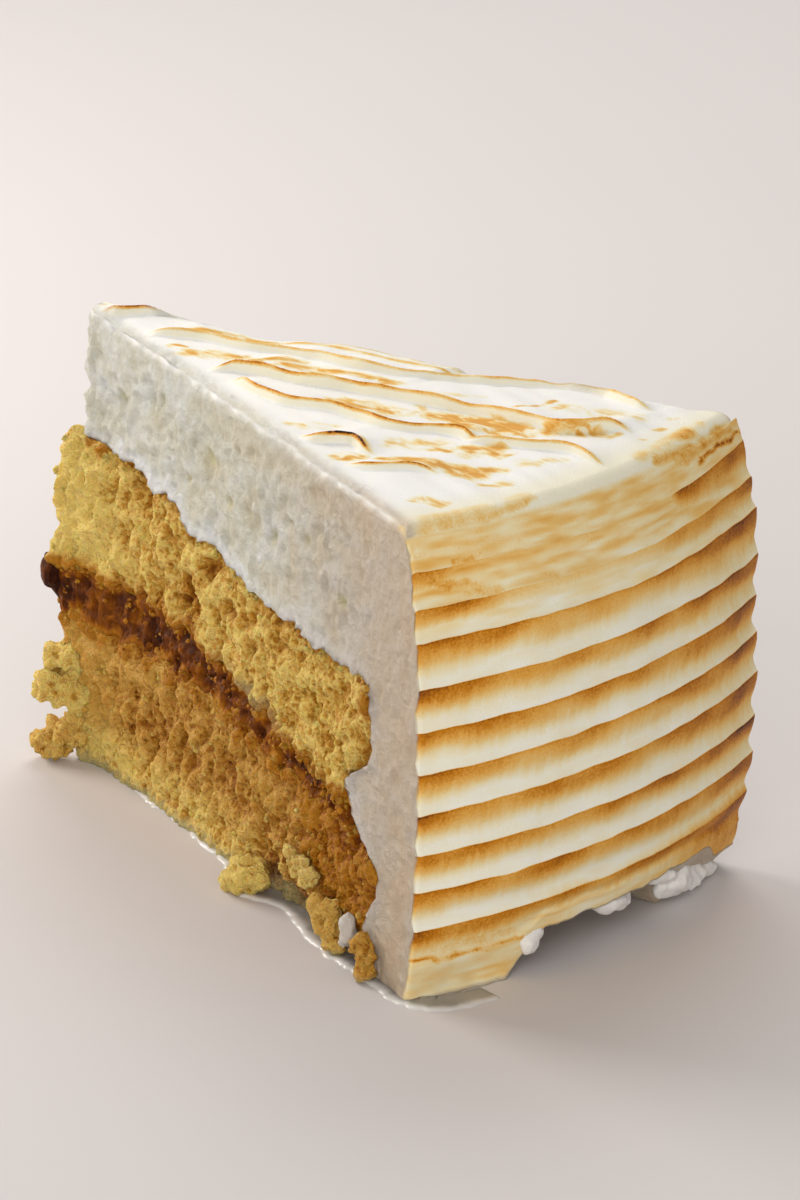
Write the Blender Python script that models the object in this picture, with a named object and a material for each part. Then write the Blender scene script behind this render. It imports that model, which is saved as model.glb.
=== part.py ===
"""A slice of three-milk layer cake in a torched meringue coat.

The slice is a wedge cut from a tall round cake: two layers of soaked sponge with a
band of caramel between them, under a thick top of meringue that turns down over the
rim into a combed outer wall. Lengths are in metres, +Z is up, the slice rests on
z = 0, and +X runs from the tip of the wedge to the middle of the outer wall.
"""

import math

import bmesh
import bpy
from mathutils import Vector, noise

MM = 0.001

# Overall sizes of the slice.
CAKE_RADIUS = 113.0 * MM
HALF_ANGLE = math.radians(20.0)
TOP_LEVEL = 77.5 * MM
TIP_HALF_WIDTH = 3.0 * MM
TIP_TO_CENTRE = 53.2 * MM
LAYER_GAP = 0.3 * MM

# Rows of arcs start beyond STRAIGHT_END; nearer the tip the rows are straight.
STRAIGHT_END = 64.0 * MM
ARC_START = 90.0 * MM
ROW_STEP = 2.3 * MM

# Outer radius of the coat at each height, before the comb marks: (height, radius).
WALL_PROFILE = [
    (0.0, 110.5),
    (6.0, 112.0),
    (17.0, 113.4),
    (34.0, 113.9),
    (56.0, 113.2),
    (62.0, 112.6),
    (68.0, 111.5),
    (72.0, 110.6),
    (76.5, 109.4),
    (78.5, 108.4),
]
TOP_RIM_RADIUS = 108.4 * MM
TOP_RIM_DROP = 0.4 * MM

# Comb marks round the wall: the sharp crests, and the valley above each of them.
CREST_HEIGHTS = [12.5, 19.2, 25.4, 31.5, 38.1, 45.1, 52.2, 59.7, 65.8, 72.0]
CREST_RISE = 0.55 * MM
VALLEY_DEPTH = 0.5 * MM
VALLEY_ABOVE = 2.6
CREST_FACE = 4.5
LIP_BELOW = 1.2
COMB_CLIMB = 0.9 * MM
SMEARED_ABOVE = 60.0

# Underside of the wall round the foot: (angle in degrees, height at the outside).
FOOT_OUTSIDE = [
    (-20.0, 0.0),
    (-10.5, 0.0),
    (-9.0, 3.0),
    (-7.5, 7.2),
    (8.0, 7.8),
    (14.0, 8.0),
    (15.5, 4.5),
    (20.0, 3.6),
]
FOOT_MIDDLE = [
    (-20.0, 0.0),
    (-9.0, 0.0),
    (-7.0, 7.6),
    (0.0, 7.6),
    (1.6, 4.6),
    (3.3, 7.8),
    (7.5, 7.8),
    (9.0, 0.0),
    (20.0, 0.0),
]
FOOT_INSIDE = [
    (-20.0, 0.0),
    (-9.0, 0.0),
    (-7.0, 6.5),
    (7.0, 6.5),
    (8.5, 0.0),
    (20.0, 0.0),
]
FOOT_FLARE = 1.4 * MM

# The core of sponge and caramel inside the coat: (height, radius).
CORE_PROFILE = [
    (0.0, 97.2),
    (9.0, 97.2),
    (14.0, 100.2),
    (18.0, 100.2),
    (24.5, 92.6),
    (29.5, 90.6),
    (32.0, 93.8),
    (35.0, 98.6),
    (48.0, 98.2),
]
CORE_SHOULDER = 47.4
CROWD_ABOVE = 40.0

# Heights of the surfaces between the layers: (distance from the tip, height).
CORE_TOP = [
    (-8.0, 56.0),
    (19.0, 56.0),
    (22.0, 53.8),
    (29.5, 54.8),
    (32.0, 51.8),
    (49.0, 50.8),
    (53.0, 48.6),
    (80.0, 48.0),
]
CARAMEL_TOP = [
    (-8.0, 34.2),
    (31.0, 33.8),
    (42.0, 32.4),
    (58.0, 29.4),
    (68.0, 26.9),
    (80.0, 25.6),
]
CARAMEL_BOTTOM = [
    (-8.0, 25.6),
    (31.0, 25.8),
    (42.0, 25.0),
    (58.0, 23.6),
    (68.0, 22.4),
    (80.0, 21.6),
]

# How far the soft crumb swells out of the cut at the tip: (height, swell).
TIP_SWELL = [
    (0.0, 1.5),
    (12.0, 2.5),
    (18.0, 3.6),
    (22.5, 4.6),
    (26.5, 5.8),
    (30.0, 7.0),
    (34.0, 8.2),
    (36.5, 7.6),
    (39.5, 5.6),
    (46.5, 6.8),
    (52.5, 5.8),
    (57.0, 1.6),
]
TIP_SWELL_REACH = 13.0 * MM
TIP_SWELL_DIRECTION = Vector((-0.86, -0.5, 0.0))

# Waves that the palette knife left in the top. Each runs along its points, steep on
# its -Y side: (rise in mm, [(x, y) in mm]).
TOP_WAVES = [
    (1.9, [(29, -7), (37, -2), (57, 2), (68, 6), (79, 10), (90, 11), (94, 18), (99, 19)]),
    (1.7, [(39, -9), (45, -10), (57, -8), (68, -6), (73, -5), (79, -2), (86, -3)]),
    (1.8, [(16, 1), (23, 3), (34, 8), (45, 10), (53, 11), (60, 17), (70, 23), (78, 29), (91, 29)]),
    (1.3, [(34, 12), (45, 15), (62, 20)]),
    (1.3, [(89, 2), (98, 5), (105, 4)]),
    (1.9, [(66, -14), (70, -15), (76, -17)]),
    (1.2, [(74, -23), (81, -23), (89, -17)]),
    (1.2, [(2, 0), (6, 2), (11, 4)]),
]
WAVE_STEEP_WIDTH = 2.6 * MM
WAVE_BACK_WIDTH = 6.0 * MM
WAVE_END_TAPER = 5.0 * MM

# Depth of the torn relief on the cut faces, and the spacing of its lumps.
MERINGUE_TEAR = 0.5 * MM
SPONGE_TEAR = 1.3 * MM
TEAR_SPACING = 7.0 * MM

# Crumbs that cling to the foot of the sponge: (centre in mm, radii in mm).
CRUMBS = [
    ((-3.4, -4.4, 13.4), (4.8, 4.6, 6.4)),
    ((-2.8, -5.2, 4.2), (4.8, 4.4, 4.7)),
    ((55.0, -23.4, 2.6), (4.2, 4.8, 3.6)),
    ((80.5, -29.6, 4.6), (7.0, 2.4, 5.4)),
]
CRUMB_ROUGHNESS = 0.22

# Colours: (base colour, roughness).
FINISHES = {
    "meringue": ((0.86, 0.82, 0.72, 1.0), 0.62),
    "sponge_upper": ((0.64, 0.42, 0.13, 1.0), 0.72),
    "caramel": ((0.22, 0.09, 0.02, 1.0), 0.45),
    "sponge_lower": ((0.58, 0.36, 0.10, 1.0), 0.68),
}


def along(points, value):
    """Height of the broken line through points, in the units of its own values."""
    if value <= points[0][0]:
        return points[0][1]
    for (x0, y0), (x1, y1) in zip(points, points[1:]):
        if value <= x1:
            return y0 + (y1 - y0) * (value - x0) / (x1 - x0)
    return points[-1][1]


def along_mm(points, metres):
    """The same, for a position and a result in metres."""
    return along(points, metres / MM) * MM


def smooth_step(low, high, value):
    share = min(max((value - low) / (high - low), 0.0), 1.0)
    return share * share * (3.0 - 2.0 * share)


def half_width(reach):
    """Half the width of the slice at a distance from the tip; the tip is blunt."""
    return math.hypot(reach * math.tan(HALF_ANGLE), TIP_HALF_WIDTH)


def plan_point(reach, across):
    """Place in plan of a row at reach from the tip, across from -1 to 1 over the slice.

    Rows are straight lines near the tip and become arcs about the cake's centre
    towards the wall; the tip itself is rounded.
    """
    angle = across * HALF_ANGLE
    wide = half_width(reach)
    rounding = math.exp(-((reach / (3.0 * MM)) ** 2))
    nose = (2.4 * MM * across * across - 1.5 * MM) * rounding
    straight = Vector((reach + nose, across * wide, 0.0))
    spread = wide / max(reach * math.tan(HALF_ANGLE), MM)
    arc = Vector((reach * math.cos(angle), reach * math.sin(angle) * spread, 0.0))
    return straight.lerp(arc, smooth_step(STRAIGHT_END, ARC_START, reach))


def cut_normal(across):
    """Outward direction of the cut face on one side of the slice."""
    side = math.copysign(1.0, across)
    return Vector((-math.sin(HALF_ANGLE), side * math.cos(HALF_ANGLE), 0.0))


def tear(place, height, across, depth):
    """Offset of a point on a cut face, from the way the crumb tore."""
    spot = Vector((place.x, place.y, height)) / TEAR_SPACING
    coarse = noise.noise(spot)
    fine = noise.noise(spot * 2.7 + Vector((3.1, 7.7, 1.3)))
    return cut_normal(across) * depth * (coarse + 0.6 * fine)


def wave_rise(x, y):
    """Height of the knife waves above the level top."""
    rise = 0.0
    for crest, points in TOP_WAVES:
        start, end = points[0][0] * MM, points[-1][0] * MM
        fade = smooth_step(start - WAVE_END_TAPER, start + WAVE_END_TAPER, x)
        fade *= 1.0 - smooth_step(end - WAVE_END_TAPER, end + WAVE_END_TAPER, x)
        behind = y - along_mm(points, x)
        if behind < 0.0:
            shape = max(0.0, 1.0 + behind / WAVE_STEEP_WIDTH)
        else:
            shape = math.exp(-behind / WAVE_BACK_WIDTH)
        rise = max(rise, crest * MM * fade * shape)
    return rise


def comb_offset(height, degrees):
    """How far the combed wall stands out or in at a height."""
    level = height / MM - COMB_CLIMB / MM * (degrees + 20.0) / 40.0
    smear = 1.0 - 0.6 * smooth_step(SMEARED_ABOVE, CREST_HEIGHTS[-1], level)
    for crest in CREST_HEIGHTS:
        if crest <= level <= crest + VALLEY_ABOVE:
            share = (level - crest) / VALLEY_ABOVE
            return smear * (CREST_RISE - (CREST_RISE + VALLEY_DEPTH) * share)
        if crest - CREST_FACE <= level < crest:
            share = (crest - level) / CREST_FACE
            return smear * (CREST_RISE - (CREST_RISE + VALLEY_DEPTH) * share ** 1.5)
    return 0.0


def wall_radius(height, degrees):
    """Outer radius of the coat, with its comb marks and the flare of its foot."""
    flare = 0.0
    if degrees < -9.0:
        flare = FOOT_FLARE * max(0.0, 1.0 - height / (3.0 * MM))
    return along_mm(WALL_PROFILE, height) + comb_offset(height, degrees) + flare


def lattice_block(name, counts, place):
    """A cube cut into a lattice and bent into shape.

    counts holds the stations along each axis; each vertex of the lattice is moved to
    place(i, j, k), where i, j and k are its station numbers.
    """
    mesh = bmesh.new()
    bmesh.ops.create_cube(mesh, size=1.0)
    for vert in mesh.verts:
        vert.co = Vector([(vert.co[axis] + 0.5) * (counts[axis] - 1) for axis in range(3)])
    for axis in range(3):
        normal = Vector([1.0 if axis == other else 0.0 for other in range(3)])
        for station in range(1, counts[axis] - 1):
            bmesh.ops.bisect_plane(
                mesh,
                geom=mesh.verts[:] + mesh.edges[:] + mesh.faces[:],
                dist=1e-5,
                plane_co=normal * station,
                plane_no=normal,
            )
    stations = {vert: tuple(round(value) for value in vert.co) for vert in mesh.verts}
    for vert, numbers in stations.items():
        vert.co = place(*numbers)
    bmesh.ops.recalc_face_normals(mesh, faces=mesh.faces)
    return mesh, stations


def dissolve_flat(mesh, hidden):
    """Merge the facets that lie in one plane among the hidden vertices."""
    edges = [edge for edge in mesh.edges if edge.verts[0] in hidden and edge.verts[1] in hidden]
    bmesh.ops.dissolve_limit(mesh, angle_limit=math.radians(0.05), verts=list(hidden), edges=edges)


def make_object(name, mesh, collection):
    """Turn a bmesh into a named object with its own material."""
    data = bpy.data.meshes.new(name)
    mesh.to_mesh(data)
    mesh.free()
    thing = bpy.data.objects.new(name, data)
    collection.objects.link(thing)
    if name in FINISHES:
        colour, roughness = FINISHES[name]
        material = bpy.data.materials.new(name)
        material.use_nodes = True
        shader = material.node_tree.nodes["Principled BSDF"]
        shader.inputs["Base Color"].default_value = colour
        shader.inputs["Roughness"].default_value = roughness
        shader.inputs["Metallic"].default_value = 0.0
        data.materials.append(material)
    thing.location.x = -TIP_TO_CENTRE
    return thing


def row_reaches(end):
    """Distances from the tip of the straight and arched rows, out to the core's edge."""
    bends = {point[0] * MM for points in (CORE_TOP, CARAMEL_TOP, CARAMEL_BOTTOM) for point in points}
    rows = [0.0]
    for bend in sorted(value for value in bends if value > 0.0) + [end]:
        gap = bend - rows[-1]
        steps = max(1, round(gap / ROW_STEP))
        start = rows[-1]
        rows += [start + gap * step / steps for step in range(1, steps + 1)]
    return rows


CORE_REACH = 98.2 * MM
ROWS = row_reaches(CORE_REACH)


def core_row(reach, height, gap):
    """Reach of a row at a height: the outer rows follow the core's own edge."""
    edge = along_mm(CORE_PROFILE, height) + gap
    if reach <= 80.0 * MM:
        return reach
    return 80.0 * MM + (reach - 80.0 * MM) * (edge - 80.0 * MM) / (CORE_REACH - 80.0 * MM)


def build_layer(name, bottom, top, rim_heights, columns, collection):
    """One layer of the core: a lattice between two surfaces that follow the distance
    from the tip. rim_heights are the heights of its inner rows at the outer end."""
    low, high = bottom(CORE_REACH), top(CORE_REACH)
    inner_levels = [(height * MM - low) / (high - low) for height in rim_heights]
    levels = [0.0, *inner_levels, 1.0]

    def place(i, j, k):
        across = -1.0 + 2.0 * j / (columns - 1)
        share = levels[k]
        start = plan_point(ROWS[i], across)
        height = bottom(start.x) * (1.0 - share) + top(start.x) * share
        spot = plan_point(core_row(ROWS[i], height, -0.5 * LAYER_GAP), across)
        near_tip = math.exp(-((ROWS[i] / TIP_SWELL_REACH) ** 2))
        swell = along_mm(TIP_SWELL, height) * near_tip * (0.8 - 0.2 * across)
        spot += TIP_SWELL_DIRECTION * swell
        if j in (0, columns - 1):
            spot += tear(spot, height, across, SPONGE_TEAR)
        spot.z = bottom(spot.x) * (1.0 - share) + top(spot.x) * share
        return spot

    mesh, stations = lattice_block(name, (len(ROWS), columns, len(levels)), place)
    hidden = {
        vert
        for vert, (i, j, k) in stations.items()
        if k in (0, len(levels) - 1) and 0 < j < columns - 1 and 0 < i < len(ROWS) - 1
    }
    dissolve_flat(mesh, hidden)
    return make_object(name, mesh, collection)


def meringue_rows():
    """Rows of the coat: over the top from the tip to the rim, then down the wall.

    Each row is (inner reach, outer reach, inner height, outer height); a None says
    that the height follows the surface it lies on.
    """
    rows = []
    for reach in ROWS:
        outer = reach
        if reach > STRAIGHT_END:
            stretch = (TOP_RIM_RADIUS - STRAIGHT_END) / (CORE_REACH - STRAIGHT_END)
            outer = STRAIGHT_END + (reach - STRAIGHT_END) * stretch
        rows.append((reach, outer, None, None))
    outer_heights = [76.8]
    for crest in reversed(CREST_HEIGHTS):
        outer_heights += [crest + VALLEY_ABOVE, crest, crest - LIP_BELOW]
    outer_heights += [0.6, 0.25, 0.0]
    crowd = (CORE_SHOULDER - CROWD_ABOVE) / (outer_heights[0] - CROWD_ABOVE)
    inner_heights = [
        min(height, CROWD_ABOVE + (height - CROWD_ABOVE) * crowd) for height in outer_heights
    ]
    for knot, _ in CORE_PROFILE[1:-1]:
        nearest = min(
            range(len(inner_heights) - 3), key=lambda number: abs(inner_heights[number] - knot)
        )
        inner_heights[nearest] = knot
    for outer, inner in zip(outer_heights, inner_heights):
        rows.append((None, None, inner, outer))
    return rows


def build_meringue(columns, collection):
    """The coat: one slab bent over the rim, with waves on top and comb marks outside."""
    rows = meringue_rows()
    depths = [0.0, 0.33, 0.7, 1.0]
    last_comb = len(rows) - 4
    comb_end = rows[last_comb][3] * MM

    def foot(share, degrees):
        outside = along(FOOT_OUTSIDE, degrees)
        middle = along(FOOT_MIDDLE, degrees)
        inside = along(FOOT_INSIDE, degrees)
        return along([(0.0, inside), (0.33, middle), (0.7, middle), (1.0, outside)], share) * MM

    def place(i, j, k):
        across = -1.0 + 2.0 * j / (columns - 1)
        degrees = math.degrees(across * HALF_ANGLE)
        depth = depths[k]
        inner_reach, outer_reach, inner_height, outer_height = rows[i]
        if inner_reach is not None:
            inner = plan_point(core_row(inner_reach, 48.0 * MM, 0.5 * LAYER_GAP), across)
            inner.z = along_mm(CORE_TOP, inner.x) + 0.5 * LAYER_GAP
            outer = plan_point(outer_reach, across)
            rim = smooth_step(TOP_RIM_RADIUS - 7.0 * MM, TOP_RIM_RADIUS, outer_reach)
            edge = 1.0 - rim * 0.6
            outer.z = TOP_LEVEL + wave_rise(outer.x, outer.y) * edge - TOP_RIM_DROP * rim
        else:
            climb = COMB_CLIMB * (degrees + 20.0) / 40.0
            if i > last_comb:
                low = foot(1.0, degrees)
                height = low + (comb_end + climb - low) * outer_height
                floor = foot(0.0, degrees)
                inside = floor + (rows[last_comb][2] * MM - floor) * outer_height
            else:
                height = outer_height * MM + climb
                inside = inner_height * MM
            inner = plan_point(along_mm(CORE_PROFILE, inside) + 0.5 * LAYER_GAP, across)
            inner.z = inside
            outer = plan_point(wall_radius(height, degrees), across)
            outer.z = height
        spot = inner.lerp(outer, depth)
        if i == len(rows) - 1:
            spot.z = foot(depth, degrees)
        if j in (0, columns - 1):
            spot += tear(spot, spot.z, across, MERINGUE_TEAR)
            if k == 0 and inner_reach is not None:
                spot.z = along_mm(CORE_TOP, spot.x) + 0.5 * LAYER_GAP
        return spot

    mesh, stations = lattice_block("meringue", (len(rows), columns, len(depths)), place)
    hidden = {
        vert
        for vert, (i, j, k) in stations.items()
        if k == 0 and 0 < j < columns - 1 and 0 < i < len(rows) - 1
    }
    dissolve_flat(mesh, hidden)
    return make_object("meringue", mesh, collection)


def build_crumb(number, centre, radii, guides):
    """A rough lump of crumb that is joined to the lower sponge."""
    mesh = bmesh.new()
    bmesh.ops.create_icosphere(mesh, subdivisions=2, radius=1.0)
    for vert in mesh.verts:
        direction = vert.co.normalized()
        rough = 1.0 + CRUMB_ROUGHNESS * noise.noise(direction * 1.7 + Vector((number * 5.3, 0.0, 2.0)))
        spot = Vector([direction[axis] * radii[axis] * rough + centre[axis] for axis in range(3)])
        spot.z = max(spot.z, 0.15)
        vert.co = spot * MM
    crumb = make_object(f"crumb_{number}", mesh, guides)
    crumb.hide_render = True
    crumb.display_type = "WIRE"
    return crumb


def join(target, piece):
    """Fuse a piece into its target with an exact union."""
    union = target.modifiers.new(f"join_{piece.name}", "BOOLEAN")
    union.operation = "UNION"
    union.solver = "EXACT"
    union.object = piece


def main():
    for thing in list(bpy.data.objects):
        bpy.data.objects.remove(thing, do_unlink=True)
    slice_parts = bpy.data.collections.new("cake_slice")
    guides = bpy.data.collections.new("cake_slice_guides")
    bpy.context.scene.collection.children.link(slice_parts)
    bpy.context.scene.collection.children.link(guides)

    half_gap = 0.5 * LAYER_GAP
    build_meringue(31, slice_parts)
    build_layer(
        "sponge_upper",
        lambda x: along_mm(CARAMEL_TOP, x) + half_gap,
        lambda x: along_mm(CORE_TOP, x) - half_gap,
        [29.5, 32.0, 35.0, 39.0, 43.5],
        7,
        slice_parts,
    )
    build_layer(
        "caramel",
        lambda x: along_mm(CARAMEL_BOTTOM, x) + half_gap,
        lambda x: along_mm(CARAMEL_TOP, x) - half_gap,
        [24.5],
        7,
        slice_parts,
    )
    lower = build_layer(
        "sponge_lower",
        lambda x: 0.0,
        lambda x: along_mm(CARAMEL_BOTTOM, x) - half_gap,
        [3.0, 6.0, 9.0, 11.5, 14.0, 16.0, 18.0],
        7,
        slice_parts,
    )
    for number, (centre, radii) in enumerate(CRUMBS):
        join(lower, build_crumb(number, centre, radii, guides))


main()
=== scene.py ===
"""The finished looks of a slice of three-milk layer cake in a torched meringue coat.

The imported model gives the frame. Each solid in it is replaced here by a dense closed
piece of the same form: the meringue coat with its knife waves and comb marks, the two
layers of soaked sponge, and the caramel between them. Crumbs, chunks, drips of
meringue and the film of milk round the foot are added to them. Shapes are worked out
in millimetres from the tip of the wedge and moved into the frame at the end.
"""

import logging
import math
from collections.abc import Callable
from dataclasses import dataclass, field
from enum import Enum
from functools import cached_property
from itertools import product, starmap

import bpy
import numpy as np
from mathutils import Matrix, Vector


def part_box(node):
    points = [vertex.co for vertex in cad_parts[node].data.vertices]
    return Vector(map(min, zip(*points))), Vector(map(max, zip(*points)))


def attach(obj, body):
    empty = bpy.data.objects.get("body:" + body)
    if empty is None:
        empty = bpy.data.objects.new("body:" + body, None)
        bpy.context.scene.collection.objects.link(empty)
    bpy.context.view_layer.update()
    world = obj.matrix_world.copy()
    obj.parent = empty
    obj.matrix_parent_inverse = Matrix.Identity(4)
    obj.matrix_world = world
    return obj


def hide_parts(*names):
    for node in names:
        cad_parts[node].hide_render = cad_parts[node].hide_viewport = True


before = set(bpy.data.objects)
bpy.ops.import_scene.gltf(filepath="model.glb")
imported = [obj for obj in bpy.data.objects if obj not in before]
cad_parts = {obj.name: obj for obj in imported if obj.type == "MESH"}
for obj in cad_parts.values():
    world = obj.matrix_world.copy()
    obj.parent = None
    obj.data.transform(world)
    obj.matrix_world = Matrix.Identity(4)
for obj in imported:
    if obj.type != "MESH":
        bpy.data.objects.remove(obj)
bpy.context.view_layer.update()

MM = 0.001
Array = np.ndarray
Points = list[tuple[float, float]]
Marks = dict[str, Array]
Shape = Callable[[Array, Array, Array], tuple[Array, Marks]]
Level = Callable[[Array, Array, Array], Array]
Piece = bpy.types.Object
Material = bpy.types.Material
Tree = bpy.types.NodeTree
Socket = bpy.types.NodeSocket

logging.basicConfig(level=logging.INFO, format="%(message)s")
LOG = logging.getLogger("cake_slice")


class Slot(Enum):
    """Material slots of the record."""

    MERINGUE = "toasted_meringue"
    SPONGE = "soaked_sponge"
    CARAMEL = "milk_caramel"
    MILK = "milk_film"


# ---- small sums


def limit(value: Array) -> Array:
    """Values cut off below 0 and above 1."""
    return np.clip(value, 0.0, 1.0)


def smooth_step(low: float, high: float, value: Array) -> Array:
    """Rise smoothly from 0 at low to 1 at high.

    Args:
        low: Value at which the rise starts.
        high: Value at which it ends.
        value: Values to read it at.

    Returns:
        The share, from 0 to 1, at each value.
    """
    share = limit((value - low) / (high - low))
    return share * share * (3.0 - 2.0 * share)


def along(points: Points, value: Array) -> Array:
    """Read a broken line through points.

    Args:
        points: Pairs of position and height, in order of position.
        value: Positions to read it at.

    Returns:
        The height at each position.
    """
    places, heights = zip(*points)
    return np.interp(value, places, heights)


def soft_along(points: Points, value: Array, reach: float = 2.4) -> Array:
    """Read a broken line with its corners rounded off over a reach either way.

    Args:
        points: Pairs of position and height, in order of position.
        value: Positions to read it at.
        reach: How far each corner is rounded.

    Returns:
        The height at each position.
    """
    return sum(along(points, value + reach * step) for step in (-1.0, -0.5, 0.0, 0.5, 1.0)) / 5.0


def soft_peak(distance: Array, width: float) -> Array:
    """A smooth bell that is 1 at no distance and fades over a width."""
    return np.exp(-((distance / width) ** 2))


class Grain:
    """Seeded noise in three directions, for shaping surfaces."""

    def __init__(self, seed: int) -> None:
        """Draw the tables.

        Args:
            seed: Number that fixes every draw.
        """
        draw = np.random.default_rng(seed)
        self.order = np.tile(draw.permutation(256), 3)
        lean = draw.normal(size=(256, 3))
        self.lean = lean / np.linalg.norm(lean, axis=1, keepdims=True)
        self.spot = draw.random(size=(256, 4))

    def _key(self, cell: Array) -> Array:
        """Number from 0 to 255 of each lattice cell."""
        a, b, c = (cell[:, axis] % 256 for axis in range(3))
        return self.order[self.order[self.order[a] + b] + c]

    def smooth(self, x: Array, y: Array, z: Array, spacing: float | tuple[float, float, float]) -> Array:
        """Gradient noise.

        Args:
            x: Places along X in mm.
            y: Places along Y in mm.
            z: Places along Z in mm.
            spacing: Distance between its swells in mm, one number or one for each axis.

        Returns:
            Noise between about -1 and 1 at each place.
        """
        step = np.broadcast_to(np.asarray(spacing, float), (3,))
        spots = np.stack(np.broadcast_arrays(x, y, z), axis=1) / step
        cell = np.floor(spots).astype(int)
        part = spots - cell
        fade = part**3 * (part * (part * 6.0 - 15.0) + 10.0)
        total = np.zeros(len(spots))
        for corner in product((0, 1), repeat=3):
            offset = np.array(corner)
            lean = self.lean[self._key(cell + offset)]
            weight = np.prod(np.where(offset, fade, 1.0 - fade), axis=1)
            total += weight * np.sum(lean * (part - offset), axis=1)
        return total * 1.6

    def rough(self, x: Array, y: Array, z: Array, spacing: float, layers: int = 3) -> Array:
        """Gradient noise in several layers, each half as wide and half as strong."""
        return sum(
            0.5**layer * self.smooth(x + 13.7 * layer, y, z - 7.1 * layer, spacing / 2.0**layer)
            for layer in range(layers)
        )

    def cells(self, x: Array, y: Array, z: Array, spacing: float) -> tuple[Array, Array]:
        """Scattered points, as in a heap of crumbs.

        Args:
            x: Places along X in mm.
            y: Places along Y in mm.
            z: Places along Z in mm.
            spacing: Average distance between the points in mm.

        Returns:
            Distance to the nearest point in spacings, and a number from 0 to 1 that
            belongs to that point.
        """
        spots = np.stack(np.broadcast_arrays(x, y, z), axis=1) / spacing
        cell = np.floor(spots).astype(int)
        nearest = np.full(len(spots), np.inf)
        owner = np.zeros(len(spots))
        for corner in product((-1, 0, 1), repeat=3):
            near = cell + np.array(corner)
            draw = self.spot[self._key(near)]
            apart = np.linalg.norm(near + draw[:, :3] - spots, axis=1)
            closer = apart < nearest
            owner = np.where(closer, draw[:, 3], owner)
            nearest = np.where(closer, apart, nearest)
        return nearest, owner


# ---- the slice's form


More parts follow.
